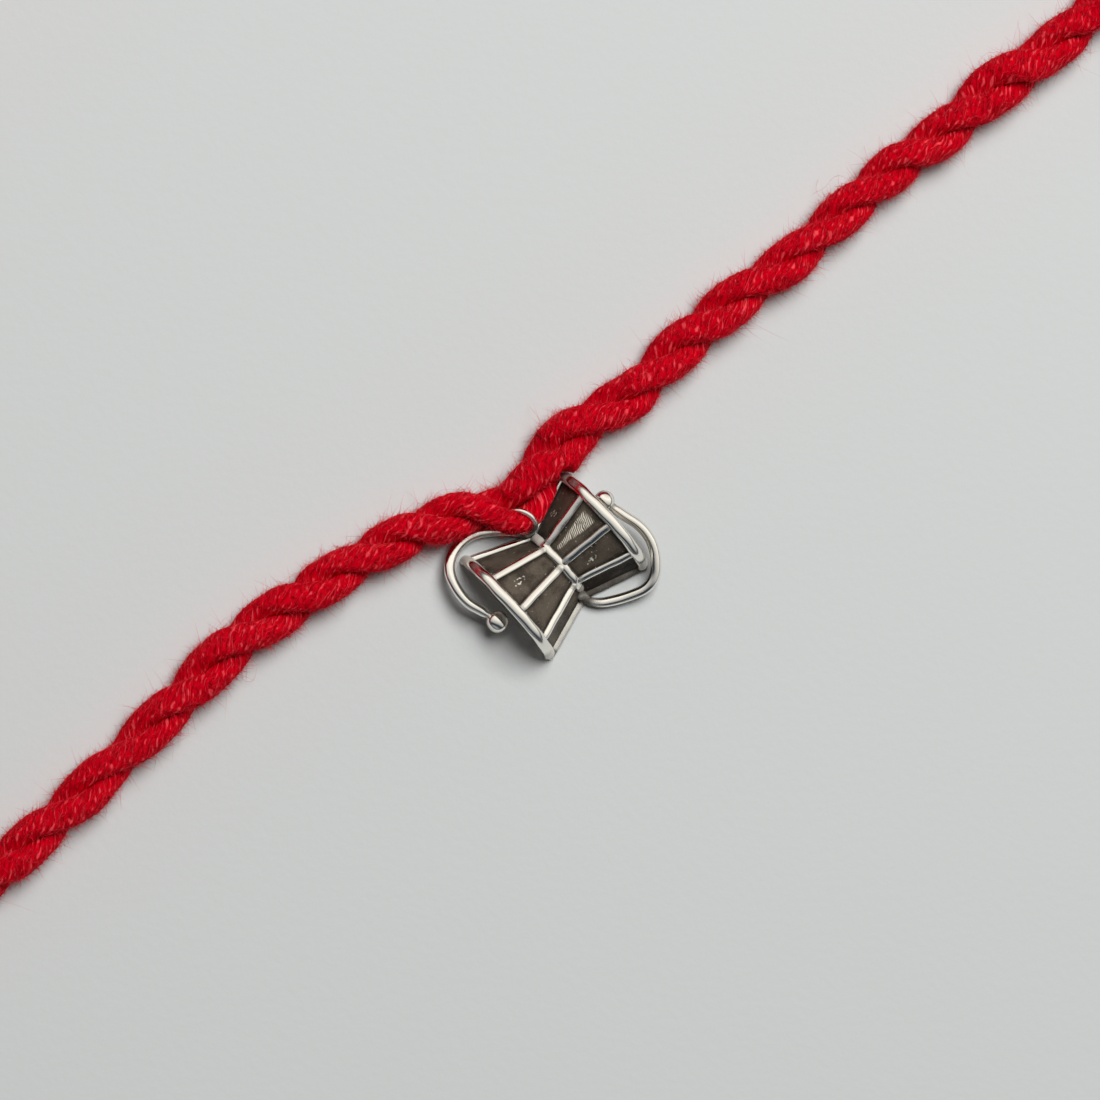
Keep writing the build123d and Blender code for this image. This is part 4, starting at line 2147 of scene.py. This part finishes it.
    def add_heads(self, shape: Shape) -> None:
        """Adds the two closed heads, each a shallow dome with a stepped border.

        Args:
            shape: what they are added to.
        """
        share, out, tarnish = np.array(self.head_rings).T
        angle = np.radians(np.linspace(-90, 90, 73))
        for length, rim, _ in self.cones():
            side = math.copysign(1.0, length)
            points = on_cone((length + side * out)[:, None], (share * rim)[:, None], angle[None, :])
            rows, columns = points.shape[:2]
            points[:, 0, 2] = points[:, -1, 2] = 0.0
            first = [row * columns for row in range(rows)]
            last = [row + columns - 1 for row in first]
            closing = [first + last[:0:-1], end_faces(rows, columns)[1][::-1]]
            if side > 0:
                faces = grid_faces(rows, columns, False, False).tolist()
                faces.extend(face[::-1] for face in closing)
            else:
                faces = grid_faces(rows, columns, False, False)[:, ::-1].tolist()
                faces.extend(closing)
            shape.add(points.reshape(-1, 3), faces, np.repeat(tarnish, columns))

    def add_hoop(self, shape: Shape, along: float, radius: float, wire: float, seed: int) -> None:
        """Adds a half hoop of wire across the drum, a little uneven as hand-bent wire is.

        Args:
            shape: what it is added to.
            along: its place along the axis.
            radius: its radius to the wire's middle.
            wire: the wire's width.
            seed: the seed of its unevenness.
        """
        draw = np.random.default_rng(seed)
        share = np.linspace(0, 1, 97)
        angle = np.radians(-90 + 180 * share)
        wave = wander(share, 1.0, (3, 5, 8), draw)
        points = on_cone(along + 0.03 * wave, radius + 0.02 * wave[::-1], angle)
        points[0, 2] = points[-1, 2] = 0.0
        thick = wire / 2 * (1 + 0.02 * wander(share, 1.0, (4, 7, 11), draw))
        level = np.degrees(angle)
        add_wire(
            shape,
            points,
            thick,
            # Filed matt towards both ends, and from higher up on the thread's side
            mask=-0.95 * np.clip((np.abs(level) - np.where(level < 0, 38, 54)) / 18, 0, 1),
            sides=28,
            end=End.FLAT,
            face=unit(on_cone(0.0, 1.0, angle) - DRUM_ORIGIN + 1.3 * UP),
            flat=self.rim_flat,
            # Painted shade on the sides that turn away from the open side
            shade=0.85,
            # A painted dark reflection on the thread's side of the two rims, but not of the waist
            stripe=1.25 * hill(level, -56, 12) if along else 0.0,
        )

    def add_rims(self, shape: Shape) -> None:
        """Adds the two rims and the waist.

        Args:
            shape: what they are added to.
        """
        (left, left_radius, _), (right, right_radius, _) = self.cones()
        self.add_hoop(shape, left, left_radius, self.rim_wire, 61)
        self.add_hoop(shape, 0.0, self.form.waist_radius, self.waist_wire, 62)
        self.add_hoop(shape, right, right_radius, self.rim_wire, 63)

    def add_ribs(self, shape: Shape) -> None:
        """Adds the ribs, each darker where it is soldered to the rim and the waist.

        Args:
            shape: what they are added to.
        """
        share = np.linspace(0, 1, 24)
        draw = np.random.default_rng(64)
        soldered = 0.6 * hill(share, 0.10, 0.05) + 0.5 * hill(share, 0.93, 0.04)
        for length, rim, ribs in self.cones():
            for number, angle in enumerate(np.radians(ribs)):
                wave = wander(share, 1.0, (1, 2, 3), draw)
                radius = self.form.waist_radius + (rim - self.form.waist_radius) * share
                lowest = number == len(ribs) - 1
                if lowest:
                    radius = radius + self.skirt * (1 - share) + 0.18
                if number == 0 and length > 0:
                    radius = radius + 0.14
                points = on_cone(length * share, radius + 0.01 + 0.015 * wave, angle + 0.006 * wave)
                thick = self.rib_wire / 2 * (1 + 0.03 * wander(share, 1.0, (2, 3), draw))
                mask = soldered
                # Painted shade on the lowest ribs, which face away from the light, more on the right cone
                if lowest:
                    mask = mask + (0.85 if length > 0 else 0.35)
                points[:, 2] = np.maximum(points[:, 2], thick)
                tilt = 4.0 if number == 0 or lowest else 0.5
                face = unit(on_cone(0.0, 1.0, angle) - DRUM_ORIGIN + tilt * UP)
                # Painted shade on every rib's sides that turn away from its face
                add_wire(shape, points, thick, mask, face=face, flat=self.rib_flat, shade=0.9)

    def add_solder(self, shape: Shape) -> None:
        """Adds the rough lumps that hold the clappers' feet and the ring to the waist.

        Args:
            shape: what they are added to.
        """
        draw = np.random.default_rng(65)
        for index, (along, out, up, radius) in enumerate(self.solder):
            centre = at_drum(along, out, up)
            add_ball(shape, centre, (radius, radius, radius * 0.85), 0.22, 80 + index, 0.62)
            for bead in range(9):
                spot = centre + unit(draw.normal(size=3)) * radius * 0.8
                size = radius * draw.uniform(0.22, 0.40)
                spot[2] = max(spot[2], size + 0.05)
                seed, mask = 90 + 9 * index + bead, draw.uniform(0.4, 1.0)
                add_ball(shape, spot, (size, size, size * 0.8), 0.25, seed, mask)

    def add_ring(self, shape: Shape) -> None:
        """Adds the jump ring, whose two ends meet at a small gap.

        Args:
            shape: what it is added to.
        """
        level_angle = DRUM_ANGLE + math.radians(self.ring_turn)
        level = np.array((math.cos(level_angle), math.sin(level_angle), 0.0))
        lean = math.radians(self.ring_lean)
        ahead = np.array((-level[1], level[0], 0.0))
        rise = ahead * math.sin(lean) + UP * math.cos(lean)
        turn = math.radians(-80) + np.linspace(0, FULL_TURN - 0.05, 90)
        points = (
            np.array(self.ring_place)
            + level * (self.ring_radius * np.cos(turn))[:, None]
            + rise * (self.ring_radius * np.sin(turn))[:, None]
        )
        mask = 0.9 * np.clip((np.cos(turn) - 0.6) / 0.3, 0, 1)
        # Painted shade on the wire's sides that turn away from the top
        add_wire(shape, points, self.ring_wire / 2, mask, sides=18, shade=0.6)


def make_materials() -> dict[str, Material]:
    """Builds every finish of the bracelet.

    Returns:
        The materials by name.
    """
    groups = {"metal_grain": metal_grain_group(), "fibre_grain": fibre_grain_group()}
    finishes = (
        SilverFinish(
            "polished_silver",
            bright=(0.90, 0.875, 0.815, 1.0),
            tarnish=(0.10, 0.085, 0.07, 1.0),
            smooth=0.13,
            dull=0.5,
        ),
        SilverFinish(
            "dull_silver",
            bright=(0.62, 0.59, 0.54, 1.0),
            tarnish=(0.12, 0.10, 0.09, 1.0),
            smooth=0.28,
            dull=0.5,
        ),
        SilverFinish(
            "rough_solder",
            bright=(0.70, 0.66, 0.60, 1.0),
            tarnish=(0.035, 0.028, 0.022, 1.0),
            smooth=0.28,
            dull=0.6,
            relief=0.00007,
        ),
        SilverFinish(
            "oxidised_silver",
            bright=(0.135, 0.108, 0.080, 1.0),
            tarnish=(0.020, 0.015, 0.011, 1.0),
            smooth=0.50,
            dull=0.65,
            wave=700.0,
            grain=7500.0,
            relief=0.00004,
            metallic=0.25,
            brushed=True,
            mottle=1.9,
        ),
        # The yarn's deep colour is painted shade between the plies; the crest colours are painted
        # highlights, on the yarn's crests and on a random share of the fibres
        YarnFinish(
            "red_yarn",
            deep=(0.20, 0.0, 0.003, 1.0),
            dyed=(0.70, 0.0004, 0.012, 1.0),
            crest=(0.97, 0.085, 0.105, 1.0),
        ),
        YarnFinish(
            "red_fibre",
            deep=(0.62, 0.0, 0.008, 1.0),
            dyed=(0.88, 0.014, 0.034, 1.0),
            crest=(1.0, 0.13, 0.155, 1.0),
            plied=False,
        ),
    )
    return {finish.name: finish.material(groups) for finish in finishes}


def main() -> None:
    """Builds the studio, the thread, its knot and the charm."""
    logging.basicConfig(level=logging.INFO, format="%(message)s")
    Studio().build()
    materials = make_materials()
    for part in (WristThread(), TieKnot(), DrumCharm()):
        for piece in part.build(materials):
            LOG.info("%s rides on root", piece.name)


if __name__ == "__main__":
    main()
